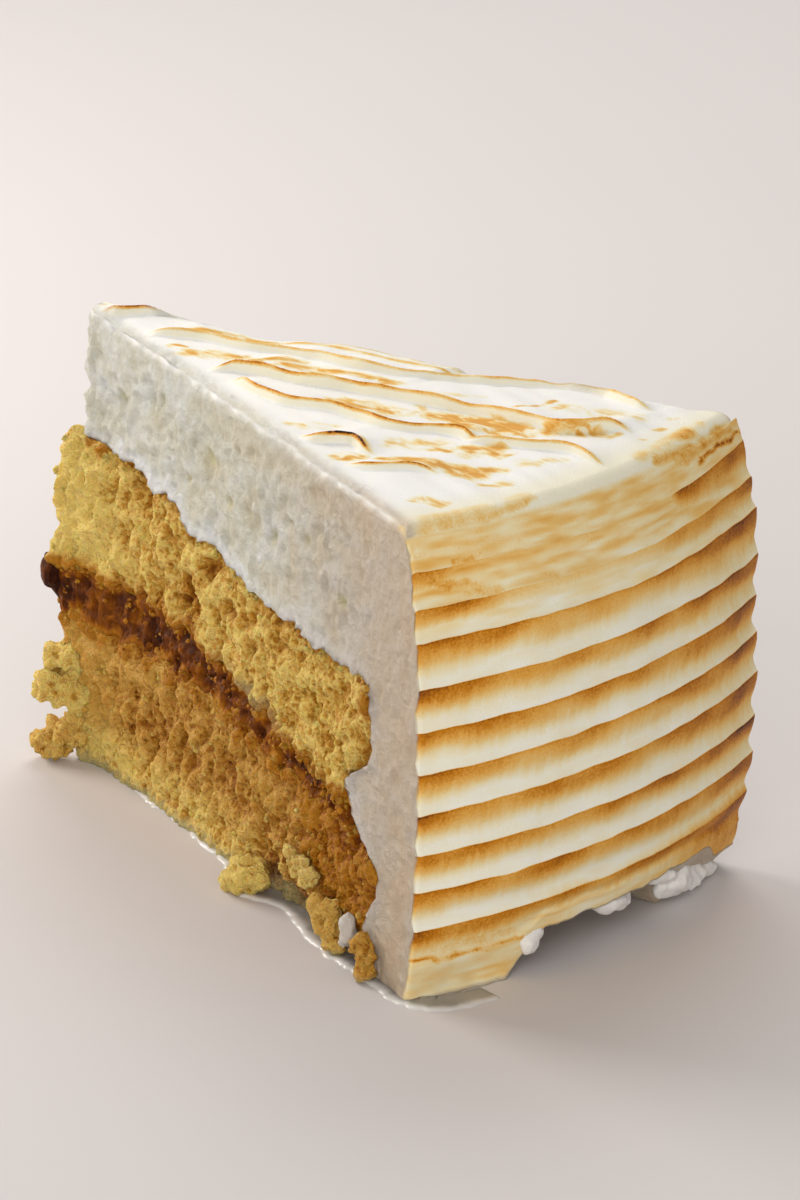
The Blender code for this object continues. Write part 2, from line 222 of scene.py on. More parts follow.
@dataclass(frozen=True)
class SliceForm:
    """Sizes of the whole slice in mm, and its plan.

    Rows across the slice are straight near the tip and become arcs about the cake's
    centre towards the wall.
    """

    half_angle: float = math.radians(20.0)
    tip_half_width: float = 3.0
    straight_end: float = 64.0
    arc_start: float = 90.0
    core_reach: float = 98.2
    wall_reach: float = 114.4
    nose_reach: float = 3.0
    edge_fade: float = 2.2
    base_height: float = 0.02
    core_profile: tuple = (
        (0.0, 97.2), (9.0, 97.2), (14.0, 101.4), (18.0, 101.6), (24.5, 92.6), (29.5, 90.6),
        (32.0, 93.8), (35.0, 98.6), (48.0, 98.2),
    )
    core_top_line: tuple = (
        (-8.0, 56.0), (19.0, 56.0), (22.0, 53.8), (29.5, 54.8), (32.0, 51.8), (49.0, 50.8),
        (53.0, 48.6), (80.0, 48.0),
    )
    caramel_top_line: tuple = (
        (-8.0, 34.2), (31.0, 33.8), (42.0, 32.4), (58.0, 29.4), (68.0, 26.9), (80.0, 25.6),
    )
    caramel_bottom_line: tuple = (
        (-8.0, 25.6), (31.0, 25.8), (42.0, 25.0), (58.0, 23.6), (68.0, 22.4), (80.0, 21.6),
    )
    grain: Grain = field(default_factory=lambda: Grain(11))

    @property
    def tip_x(self) -> float:
        """Place of the tip along the frame's X, in mm, from the coat's own box."""
        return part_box("meringue")[1][0] / MM - self.wall_reach

    def half_width(self, reach: Array) -> Array:
        """Half the width of the slice at a distance from its blunt tip."""
        return np.hypot(reach * math.tan(self.half_angle), self.tip_half_width)

    def plan(self, reach: Array, across: Array) -> tuple[Array, Array]:
        """Place in plan.

        Args:
            reach: Distance of the row from the tip in mm.
            across: Place along the row, from -1 to 1.

        Returns:
            X and Y in mm from the tip.
        """
        wide = self.half_width(reach)
        slope = math.tan(self.half_angle)
        nose = (2.4 * across**2 - 1.5) * soft_peak(reach, self.nose_reach)
        angle = across * self.half_angle
        spread = wide / np.maximum(reach * slope, 1.0)
        share = smooth_step(self.straight_end, self.arc_start, reach)
        x = (reach + nose) * (1.0 - share) + reach * np.cos(angle) * share
        y = across * wide * (1.0 - share) + reach * np.sin(angle) * spread * share
        return x, y

    def edge_distance(self, reach: Array, across: Array) -> Array:
        """Distance from the nearest cut face or the nose, in mm."""
        side = self.half_width(reach) * (1.0 - np.abs(across)) * math.cos(self.half_angle)
        return np.minimum(side, reach)

    def near_edge(self, reach: Array, across: Array) -> Array:
        """1 at a cut face and at the nose, fading to 0 inside."""
        return soft_peak(self.edge_distance(reach, across), self.edge_fade)

    def outward(self, reach: Array, across: Array) -> tuple[Array, Array]:
        """Direction in plan away from the slice at its cut faces and round its nose."""
        flat = smooth_step(0.0, self.nose_reach, reach)
        turn = across * (1.0 - flat) + np.sign(across) * flat
        angle = math.pi - (math.pi / 2.0 - self.half_angle) * turn
        return np.cos(angle), np.sin(angle)

    def _ragged(self, x: Array, y: Array, layer: float, spacing: float) -> Array:
        """Noise over two directions, of a different layer of the grain for each use."""
        return self.grain.rough(x, y, 0.0 * x + layer, spacing)

    def core_edge(self, height: Array, y: Array, near: Array) -> Array:
        """Radius of the core at a height, ragged where near a cut face."""
        return along(self.core_profile, height) + 0.8 * self._ragged(y, height, 40.0, 3.4) * near

    def core_top(self, x: Array, y: Array, near: Array) -> Array:
        """Height of the sponge under the coat, ragged where near a cut face."""
        return soft_along(self.core_top_line, x, 1.2) + 1.1 * self._ragged(x, y, 5.0, 4.0) * near

    def caramel_top(self, x: Array, y: Array, near: Array) -> Array:
        """Height of the caramel's upper side, ragged where near a cut face."""
        return along(self.caramel_top_line, x) + 1.9 * self._ragged(x, y, 17.0, 4.0) * near

    def caramel_bottom(self, x: Array, y: Array, near: Array) -> Array:
        """Height of the caramel's underside, ragged where near a cut face."""
        return along(self.caramel_bottom_line, x) + 1.9 * self._ragged(x, y, 29.0, 4.2) * near

    def underside(self, x: Array, y: Array, near: Array) -> Array:
        """Height of the slice's flat underside."""
        return 0.0 * x + self.base_height

    def to_frame(self, x: Array, y: Array, z: Array) -> Array:
        """Places in the frame, in metres, from places in mm from the tip."""
        return np.stack([x + self.tip_x, y, z], axis=1) * MM


FORM = SliceForm()


# ---- mesh work by hand


def pick_only(things: list[Piece]) -> None:
    """Select the things given and nothing else; the first is the active one."""
    bpy.ops.object.select_all(action="DESELECT")
    for thing in things:
        thing.select_set(True)
    bpy.context.view_layer.objects.active = things[0]


def apply_modifier(thing: Piece, kind: str, **settings: object) -> None:
    """Add a modifier to a thing and apply it.

    Args:
        thing: Object to change.
        kind: Blender's name of the modifier type.
        **settings: Properties of the modifier.
    """
    pick_only([thing])
    modifier = thing.modifiers.new(kind.lower(), kind)
    for name, value in settings.items():
        setattr(modifier, name, value)
    bpy.ops.object.modifier_apply(modifier=modifier.name)


def set_points(thing: Piece, spots: Array, marks: Marks) -> None:
    """Move the vertices of a thing and write numbers on them.

    Args:
        thing: Mesh object.
        spots: New places in metres.
        marks: Named numbers, one for each vertex, that the finish reads.
    """
    mesh = thing.data
    mesh.vertices.foreach_set("co", spots.astype(np.float32).ravel())
    for name, values in marks.items():
        layer = mesh.attributes.get(name) or mesh.attributes.new(name, "FLOAT", "POINT")
        layer.data.foreach_set("value", np.broadcast_to(values, len(spots)).astype(np.float32))
    mesh.update()


def get_points(thing: Piece) -> Array:
    """Places of the vertices of a thing, in metres."""
    spots = np.empty(len(thing.data.vertices) * 3, np.float32)
    thing.data.vertices.foreach_get("co", spots)
    return spots.reshape(-1, 3).astype(float)


def close_and_smooth(thing: Piece, merge: float = 1e-6) -> None:
    """Merge the seams of a thing, turn its faces outwards and shade it smooth.

    Args:
        thing: Mesh object.
        merge: Distance in metres within which vertices are merged.
    """
    pick_only([thing])
    bpy.ops.object.mode_set(mode="EDIT")
    bpy.ops.mesh.select_all(action="SELECT")
    bpy.ops.mesh.remove_doubles(threshold=merge)
    bpy.ops.mesh.dissolve_degenerate(threshold=merge)
    bpy.ops.mesh.normals_make_consistent(inside=False)
    bpy.ops.object.mode_set(mode="OBJECT")
    bpy.ops.object.shade_smooth()


def bend_block(
    name: str,
    counts: tuple[int, int, int],
    shape: Shape,
    hidden: tuple[str, ...] = (),
) -> Piece:
    """Make the closed skin of a block of stations and bend it into shape.

    Args:
        name: Name of the piece.
        counts: Stations along the block's three directions.
        shape: Gives the places and marks of stations, from their three numbers.
        hidden: Sides such as "k0" or "i1" that never show and are made coarse.

    Returns:
        The closed piece.
    """
    sheets = []
    for axis, letter in enumerate("ijk"):
        first, second = [other for other in range(3) if other != axis]
        for end, number in ((0, 0), (1, counts[axis] - 1)):
            bpy.ops.mesh.primitive_grid_add(
                x_subdivisions=counts[first] - 1, y_subdivisions=counts[second] - 1, size=1.0
            )
            sheet = bpy.context.object
            stations = [None, None, None]
            stations[first] = np.tile(np.arange(counts[first]), counts[second])
            stations[second] = np.repeat(np.arange(counts[second]), counts[first])
            stations[axis] = np.full(counts[first] * counts[second], number)
            set_points(sheet, *shape(*stations))
            if f"{letter}{end}" in hidden:
                apply_modifier(sheet, "DECIMATE", decimate_type="DISSOLVE", angle_limit=math.radians(4.0))
            sheets.append(sheet)
    pick_only(sheets)
    bpy.ops.object.join()
    block = bpy.context.object
    block.name = block.data.name = name
    close_and_smooth(block)
    return block


def finish_piece(
    thing: Piece, finish: Material, stands_for: str
) -> None:
    """Dress a piece and give it its place in the record.

    Args:
        thing: Finished mesh object.
        finish: Material to wear.
        stands_for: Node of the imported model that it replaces.
    """
    thing.data.materials.clear()
    thing.data.materials.append(finish)
    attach(thing, "root")
    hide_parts(stands_for)
    faces = sum(len(face.vertices) - 2 for face in thing.data.polygons)
    LOG.info("%s: %d triangles, stands for %s", thing.name, faces, stands_for)


# ---- finishes


def colour(code: str) -> tuple[float, float, float, float]:
    """Linear colour of an sRGB hex code such as #EBD9A8."""
    parts = [int(code[place : place + 2], 16) / 255.0 for place in (1, 3, 5)]
    linear = [part / 12.92 if part <= 0.04045 else ((part + 0.055) / 1.055) ** 2.4 for part in parts]
    return (*linear, 1.0)


def fill_inputs(tree: Tree, node: bpy.types.Node, inputs: dict) -> None:
    """Set the inputs of a node.

    Args:
        tree: Tree that the node is in.
        node: Node to set.
        inputs: Values, or output sockets to link, by the input's name or number.
    """
    for key, value in inputs.items():
        if isinstance(value, Socket):
            tree.links.new(value, node.inputs[key])
        else:
            node.inputs[key].default_value = value


def add_node(
    tree: Tree,
    kind: str,
    settings: dict | None = None,
    inputs: dict | None = None,
    output: int | str = 0,
) -> Socket:
    """Add a node with its settings and links.

    Args:
        tree: Node tree of a material.
        kind: Blender's name of the node type, after ShaderNode.
        settings: Properties to set; "stops" gives a ramp its stops, each a place and a
            colour code or a grey level.
        inputs: Values or output sockets for its inputs, by name or number.
        output: Name or number of the output that is wanted.

    Returns:
        That output's socket.
    """
    made = tree.nodes.new(f"ShaderNode{kind}")
    for name, value in (settings or {}).items():
        if name == "stops":
            stops = made.color_ramp.elements
            stops.remove(stops[1])
            for number, (place, code) in enumerate(value):
                stop = stops.new(place) if number else stops[0]
                stop.position = place
                stop.color = colour(code) if isinstance(code, str) else (code, code, code, 1.0)
        else:
            setattr(made, name, value)
    fill_inputs(tree, made, inputs or {})
    return made.outputs[output]


@dataclass(frozen=True)
class Blank:
    """A new material, with what every finish starts from.

    Attributes:
        material: The material.
        tree: Its node tree.
        shader: Its shader.
        mm: Places on the piece in mm.
        marks: Numbers that the shaping wrote on the piece, by name.
    """

    material: Material
    tree: Tree
    shader: bpy.types.Node
    mm: Socket
    marks: dict[str, Socket]


def new_material(name: str, mark_names: tuple[str, ...] = ()) -> Blank:
    """Make a material that reads places in mm and the marks on its piece.

    Args:
        name: Name of the material.
        mark_names: Names of the marks that it reads.

    Returns:
        The blank material.
    """
    material = bpy.data.materials.new(name)
    material.use_nodes = True
    tree = material.node_tree
    place = add_node(tree, "TexCoord", output="Object")
    per_mm = (1.0 / MM, 1.0 / MM, 1.0 / MM)
    mm = add_node(tree, "Mapping", inputs={"Vector": place, "Scale": per_mm})
    marks = {
        mark: add_node(tree, "Attribute", {"attribute_name": mark}, output="Fac")
        for mark in mark_names
    }
    return Blank(material, tree, tree.nodes["Principled BSDF"], mm, marks)


@dataclass(frozen=True)
class TorchedMeringue:
    """Whipped meringue, combed and browned with a torch; torn where it was cut.

    The skin is matt and nearly white, the torch turns it cream, gold and then brown
    along every raised edge, and the cut shows a fine wet foam. Shade is painted on it
    as well: cream on the steep sides of the top's waves and at the wall's foot, and
    darker, warmer foam towards the wall, under the top edge and in the pits, with
    lighter foam towards the tip. Widths and sizes of its patterns are in mm.
    """

    name: str = "meringue_torched"
    browning: tuple = (
        (0.0, "#FCFAF5"),
        (0.08, "#F8F2DD"),
        (0.2, "#F4E1B0"),
        (0.35, "#F0C87C"),
        (0.5, "#E8AC4C"),
        (0.65, "#CC8010"),
        (0.8, "#985206"),
        (0.92, "#552A06"),
        (1.0, "#2A1403"),
    )
    foam: tuple = ((0.0, "#BDB195"), (0.35, "#D4CFB9"), (0.6, "#E2E0D1"), (0.85, "#EEEFE6"), (1.0, "#FAFAF6"))
    # Painted shade and warm bounce light on the foam towards the wall.
    foam_shaded: str = "#C5A88E"
    # Colour of the foam's pits: partly their own yellow tone, partly painted shade.
    foam_pit: str = "#D6CC96"
    ridge_fade: tuple = (
        (0.0, 0.7), (0.1, 0.67), (0.2, 0.62), (0.3, 0.54), (0.4, 0.44), (0.5, 0.33), (0.62, 0.2),
        (0.78, 0.1), (0.94, 0.05),
    )
    streak_size: tuple[float, float, float] = (1.3, 1.3, 11.0)
    mottle_size: tuple[float, float, float] = (3.8, 1.9, 1.9)
    mottle_turn: float = -0.25
    speckles_per_mm: float = 2.2
    foam_width: float = 1.9
    crinkle_width: float = 1.9
    foam_relief: float = 1.3

    def _patterns(self, blank: Blank) -> dict[str, Socket]:
        """Noises of the skin and the foam, each at its size in mm."""
        ways = {"mm": blank.mm}
        turns = {"streak": (self.streak_size, 0.0), "mottle": (self.mottle_size, self.mottle_turn)}
        for name, (size, turn) in turns.items():
            scale = tuple(1.0 / length for length in size)
            inputs = {"Vector": blank.mm, "Rotation": (0.0, 0.0, turn), "Scale": scale}
            ways[name] = add_node(blank.tree, "Mapping", inputs=inputs)
        noises = {
            "streak": ("streak", "FBM", {"Scale": 1.0, "Detail": 3.0}),
            "mottle": ("mottle", "FBM", {"Scale": 1.0, "Detail": 4.0, "Distortion": 0.7}),
            "fine": ("mm", "FBM", {"Scale": self.speckles_per_mm, "Detail": 3.0}),
            "foam": ("mm", "FBM", {"Scale": 1.0 / self.foam_width, "Detail": 6.0, "Roughness": 0.74}),
            "crinkle": (
                "mm",
                "RIDGED_MULTIFRACTAL",
                {"Scale": 1.0 / self.crinkle_width, "Detail": 4.0, "Roughness": 0.7},
            ),
        }
        return {
            name: add_node(
                blank.tree, "TexNoise", {"noise_type": kind}, {"Vector": ways[way], **inputs}
            )
            for name, (way, kind, inputs) in noises.items()
        }

    def _ranges(self, blank: Blank, noise: dict[str, Socket]) -> dict[str, Socket]:
        """Spread noises and marks over the ranges that the skin and the cut need."""
        along_x = add_node(blank.tree, "SeparateXYZ", inputs={"Vector": blank.mm})
        marks = blank.marks
        ranges = {
            "shift": (noise["streak"], 0.3, 0.7, -0.05, 0.05),
            "edge": (marks["comb"], 0.0, 0.05, 0.06, 0.0),
            "speckle": (noise["fine"], 0.3, 0.7, 0.9, 1.1),
            "worn": (noise["mottle"], 0.36, 0.62, 0.42, 1.2),
            "lip_wear": (noise["fine"], 0.3, 0.6, 0.75, 1.05),
            "foam": (noise["foam"], 0.12, 0.88, 0.0, 1.0),
            # Painted shade: the foam turns darker and warmer towards the wall.
            "shaded": (along_x, 0.0, 44.0, 0.0, 0.6),
            "torn": (marks["froth_and_painted_shading"], -0.4, 0.35, 0.5, 1.5),
            "wetness": (marks["cut"], 0.0, 1.0, 0.15, 0.5),
            "dryness": (marks["cut"], 0.0, 1.0, 0.55, 0.3),
        }
        names = ("Value", "From Min", "From Max", "To Min", "To Max")
        return {
            name: add_node(blank.tree, "MapRange", inputs=dict(zip(names, row)))
            for name, row in ranges.items()
        }

    def _skin(self, blank: Blank, spread: dict[str, Socket]) -> Socket:
        """Colour of the skin, browned on the wall, in patches on top and along lips."""
        tree, marks = blank.tree, blank.marks
        # Wall: each comb ridge is dark along its upper edge and fades downwards.
        ragged = add_node(tree, "Math", {"operation": "ADD"}, {0: marks["comb"], 1: spread["shift"]})
        fade = add_node(tree, "ValToRGB", {"stops": self.ridge_fade}, {"Fac": ragged})
        wall = add_node(tree, "Math", {"operation": "ADD"}, {0: fade, 1: spread["edge"]})
        for share in (marks["char"], spread["speckle"]):
            wall = add_node(tree, "Math", {"operation": "MULTIPLY"}, {0: wall, 1: share})

        # Top: mottled patches where the flame touched, and thin dark lips on the waves.
        touched = add_node(tree, "Math", {"operation": "MULTIPLY"}, {0: spread["worn"], 1: marks["toast"]})
        inputs = {"Value": touched, "From Min": 0.06, "From Max": 0.98, "To Min": 0.0, "To Max": 0.54}
        brown = add_node(tree, "MapRange", {"interpolation_type": "SMOOTHSTEP"}, inputs)
        lip = add_node(tree, "Math", {"operation": "MULTIPLY"}, {0: marks["line"], 1: spread["lip_wear"]})
        # Cream tone, plus painted shade in cream on the steep sides of the waves and at the wall's foot.
        cream = add_node(tree, "Math", {"operation": "MULTIPLY"}, {0: marks["cream_and_painted_shade"], 1: 0.2})
        for other in (lip, wall, cream):
            brown = add_node(tree, "Math", {"operation": "MAXIMUM"}, {0: brown, 1: other})
        return add_node(tree, "ValToRGB", {"stops": self.browning}, {"Fac": brown})

    def _foam(self, blank: Blank, spread: dict[str, Socket]) -> Socket:
        """Colour of the cut: wet foam and white flecks, with painted shading: duller in the pits, warmer and
        darker by the wall.
        """
        tree, marks = blank.tree, blank.marks
        level = add_node(tree, "Math", {"operation": "ADD"}, {0: spread["foam"], 1: marks["froth_and_painted_shading"]})
        foam = add_node(tree, "ValToRGB", {"stops": self.foam}, {"Fac": level})
        # Painted shade towards the wall, and in the pits, partly with their own yellow tone.
        for amount, tone in ((spread["shaded"], self.foam_shaded), (marks["pit"], self.foam_pit)):
            foam = add_node(
                tree, "Mix", {"data_type": "RGBA"}, {"Factor": amount, 6: foam, 7: colour(tone)}, output=2
            )
        return foam

    def make(self) -> Material:
        """Build the material."""
        blank = new_material(
            self.name, ("toast", "line", "comb", "char", "cut", "cream_and_painted_shade", "pit", "froth_and_painted_shading")
        )
        tree, cut = blank.tree, blank.marks["cut"]
        noise = self._patterns(blank)
        spread = self._ranges(blank, noise)
        skin, foam = self._skin(blank, spread), self._foam(blank, spread)
        base = add_node(tree, "Mix", {"data_type": "RGBA"}, {"Factor": cut, 6: skin, 7: foam}, output=2)

        # The cut is torn and pitted, the skin has only the fine drag of the knife.
        height = add_node(
            tree, "Math", {"operation": "MULTIPLY_ADD"}, {0: noise["crinkle"], 1: 0.6, 2: noise["foam"]}
        )
        for share in (spread["torn"], cut):
            height = add_node(tree, "Math", {"operation": "MULTIPLY"}, {0: height, 1: share})
        height = add_node(
            tree, "Math", {"operation": "MULTIPLY_ADD"}, {0: noise["fine"], 1: 0.07, 2: height}
        )
        bump = add_node(
            tree, "Bump", inputs={"Height": height, "Strength": 1.0, "Distance": self.foam_relief * MM}
        )
        inputs = {
            "Base Color": base,
            "Normal": bump,
            "Specular IOR Level": spread["wetness"],
            "Roughness": spread["dryness"],
            "Subsurface Weight": 0.3,
            "Subsurface Radius": (1.0, 0.9, 0.7),
            "Subsurface Scale": 0.5 * MM,
        }
        fill_inputs(tree, blank.shader, inputs)
        return blank.material


@dataclass(frozen=True)
class SoakedSponge:
    """Butter sponge soaked with milk: an open, lumpy, moist crumb.

    Raised crumbs are pale yellow and hollows deeper gold and browner, which is
    painted shade; the thin tip is painted paler, as light. Caramel stains it brown
    and the milk that pools in it turns it greyish. Widths of its patterns are in mm.
    """

    name: str = "sponge_milk_soaked"
    crumb: tuple = (
        (0.0, "#6D3600"),
        (0.2, "#995902"),
        (0.42, "#BC7B1B"),
        (0.68, "#D8A13B"),
        (1.0, "#FFDA78"),
    )
    stained: tuple = ((0.0, "#491C00"), (0.35, "#7F3E00"), (0.7, "#AA6202"), (1.0, "#CA8922"))
    milky: str = "#BDB27E"
    grain_width: float = 1.5
    crumb_width: float = 1.0
    crumb_shake: float = 1.6
    patch_width: float = 9.0
    crumb_relief: float = 1.3

    def _crumbs(self, blank: Blank) -> Socket:
        """Distance from the middles of crumbs that lie at shaken places."""
        tree = blank.tree
        torn = add_node(
            tree, "TexNoise", inputs={"Vector": blank.mm, "Scale": 0.9, "Detail": 2.0}, output="Color"
        )
        shake = (self.crumb_shake, self.crumb_shake, self.crumb_shake)
        shaken = add_node(
            tree, "VectorMath", {"operation": "MULTIPLY_ADD"}, {0: torn, 1: shake, 2: blank.mm}
        )
        inputs = {"Vector": shaken, "Scale": 1.0 / self.crumb_width, "Detail": 1.5, "Roughness": 0.6}
        return add_node(tree, "TexVoronoi", {"feature": "F1"}, inputs)

    def make(self) -> Material:
        """Build the material."""
        blank = new_material(self.name, ("lump", "stain", "milk", "tint"))
        tree, marks = blank.tree, blank.marks
        inputs = {"Vector": blank.mm, "Scale": 1.0 / self.grain_width, "Detail": 5.0, "Roughness": 0.72}
        fine = add_node(tree, "TexNoise", inputs=inputs)
        inputs = {"Vector": blank.mm, "Scale": 1.0 / self.patch_width, "Detail": 2.0}
        patches = add_node(tree, "TexNoise", inputs=inputs)
        crumbs = self._crumbs(blank)
        # The lump mark brings painted shade in pores and hollows and painted light at the tip.
        level = add_node(tree, "Math", {"operation": "MULTIPLY"}, {0: marks["lump"], 1: 1.5})
        for part, weight in ((fine, 1.0), (crumbs, 0.9), (patches, 0.5), (marks["tint"], 0.22)):
            level = add_node(tree, "Math", {"operation": "MULTIPLY_ADD"}, {0: part, 1: weight, 2: level})
        level = add_node(tree, "MapRange", inputs={"Value": level, "From Min": 1.15, "From Max": 2.65})
        clean, stained = (
            add_node(tree, "ValToRGB", {"stops": stops}, {"Fac": level})
            for stops in (self.crumb, self.stained)
        )
        stain_edge = add_node(
            tree, "Math", {"operation": "MULTIPLY_ADD"}, {0: fine, 1: 0.7, 2: marks["stain"]}
        )
        stain = add_node(tree, "MapRange", inputs={"Value": stain_edge, "From Min": 0.45, "From Max": 1.05})
        base = clean
        for amount, tone in ((stain, stained), (marks["milk"], colour(self.milky))):
            base = add_node(
                tree, "Mix", {"data_type": "RGBA"}, {"Factor": amount, 6: base, 7: tone}, output=2
            )
        height = add_node(tree, "Math", {"operation": "MULTIPLY_ADD"}, {0: crumbs, 1: 0.75, 2: fine})
        bump = add_node(
            tree, "Bump", inputs={"Height": height, "Strength": 1.0, "Distance": self.crumb_relief * MM}
        )
        wet = add_node(tree, "MapRange", inputs={"Value": marks["milk"], "To Min": 0.5, "To Max": 0.2})
        inputs = {
            "Base Color": base,
            "Normal": bump,
            "Roughness": wet,
            "Specular IOR Level": 0.2,
            "Subsurface Weight": 0.4,
            "Subsurface Radius": (1.0, 0.55, 0.15),
            "Subsurface Scale": 1.3 * MM,
        }
        fill_inputs(tree, blank.shader, inputs)
        return blank.material


@dataclass(frozen=True)
class CaramelCrumb:
    """Milk caramel that has soaked into the crumb on both sides of it.

    It is dark, sticky and a little glossy, in short upright strands with orange
    crumbs. Sizes of its patterns are in mm.
    """

    name: str = "caramel_milk"
    strands: tuple = (
        (0.0, "#321000"),
        (0.26, "#5F2B00"),
        (0.48, "#8B4B01"),
        (0.68, "#AA670B"),
        (0.85, "#C08324"),
        (1.0, "#D8A852"),
    )
    strands_per_mm: tuple[float, float, float] = (1.1, 1.1, 0.33)
    pool_width: float = 4.5
    strand_relief: float = 1.4

    def make(self) -> Material:
        """Build the material."""
        blank = new_material(self.name, ("lump",))
        tree = blank.tree
        stretched = add_node(tree, "Mapping", inputs={"Vector": blank.mm, "Scale": self.strands_per_mm})
        strand = add_node(
            tree, "TexNoise", inputs={"Vector": stretched, "Scale": 1.0, "Detail": 4.0, "Roughness": 0.6}
        )
        pooled = add_node(
            tree, "TexNoise", inputs={"Vector": blank.mm, "Scale": 1.0 / self.pool_width, "Detail": 3.0}
        )
        level = blank.marks["lump"]
        for part, weight in ((strand, 0.8), (pooled, 1.3)):
            level = add_node(tree, "Math", {"operation": "MULTIPLY_ADD"}, {0: part, 1: weight, 2: level})
        level = add_node(tree, "MapRange", inputs={"Value": level, "From Min": 1.06, "From Max": 2.15})
        base = add_node(tree, "ValToRGB", {"stops": self.strands}, {"Fac": level})
        bump = add_node(
            tree, "Bump", inputs={"Height": strand, "Strength": 1.0, "Distance": self.strand_relief * MM}
        )
        inputs = {
            "Base Color": base,
            "Normal": bump,
            "Roughness": 0.4,
            "Specular IOR Level": 0.12,
            "Subsurface Weight": 0.2,
            "Subsurface Radius": (1.0, 0.4, 0.1),
            "Subsurface Scale": 1.2 * MM,
        }
        fill_inputs(tree, blank.shader, inputs)
        return blank.material


@dataclass(frozen=True)
class MilkGloss:
    """Sweet milk that has run out of the sponge: thin, bluish white and glossy.

    It is clear where it lies thin and white along its rim.
    """

    name: str = "milk_sweetened"
    thin: str = "#C9C7C4"
    thick: str = "#F2EFEA"
    swirl_width: float = 6.0

    def make(self) -> Material:
        """Build the material."""
        blank = new_material(self.name, ("rim",))
        tree = blank.tree
        swirl = add_node(
            tree, "TexNoise", inputs={"Vector": blank.mm, "Scale": 1.0 / self.swirl_width, "Detail": 2.0}
        )
        tones = {"Factor": swirl, 6: colour(self.thin), 7: colour(self.thick)}
        base = add_node(tree, "Mix", {"data_type": "RGBA"}, tones, output=2)
        clear = add_node(
            tree, "MapRange", inputs={"Value": blank.marks["rim"], "To Min": 0.75, "To Max": 0.0}
        )
        inputs = {
            "Base Color": base,
            "Transmission Weight": clear,
            "Roughness": 0.14,
            "IOR": 1.35,
            "Subsurface Weight": 0.4,
            "Subsurface Radius": (0.6, 0.8, 1.0),
            "Subsurface Scale": 1.0 * MM,
        }
        fill_inputs(tree, blank.shader, inputs)
        return blank.material


# ---- torn crumb


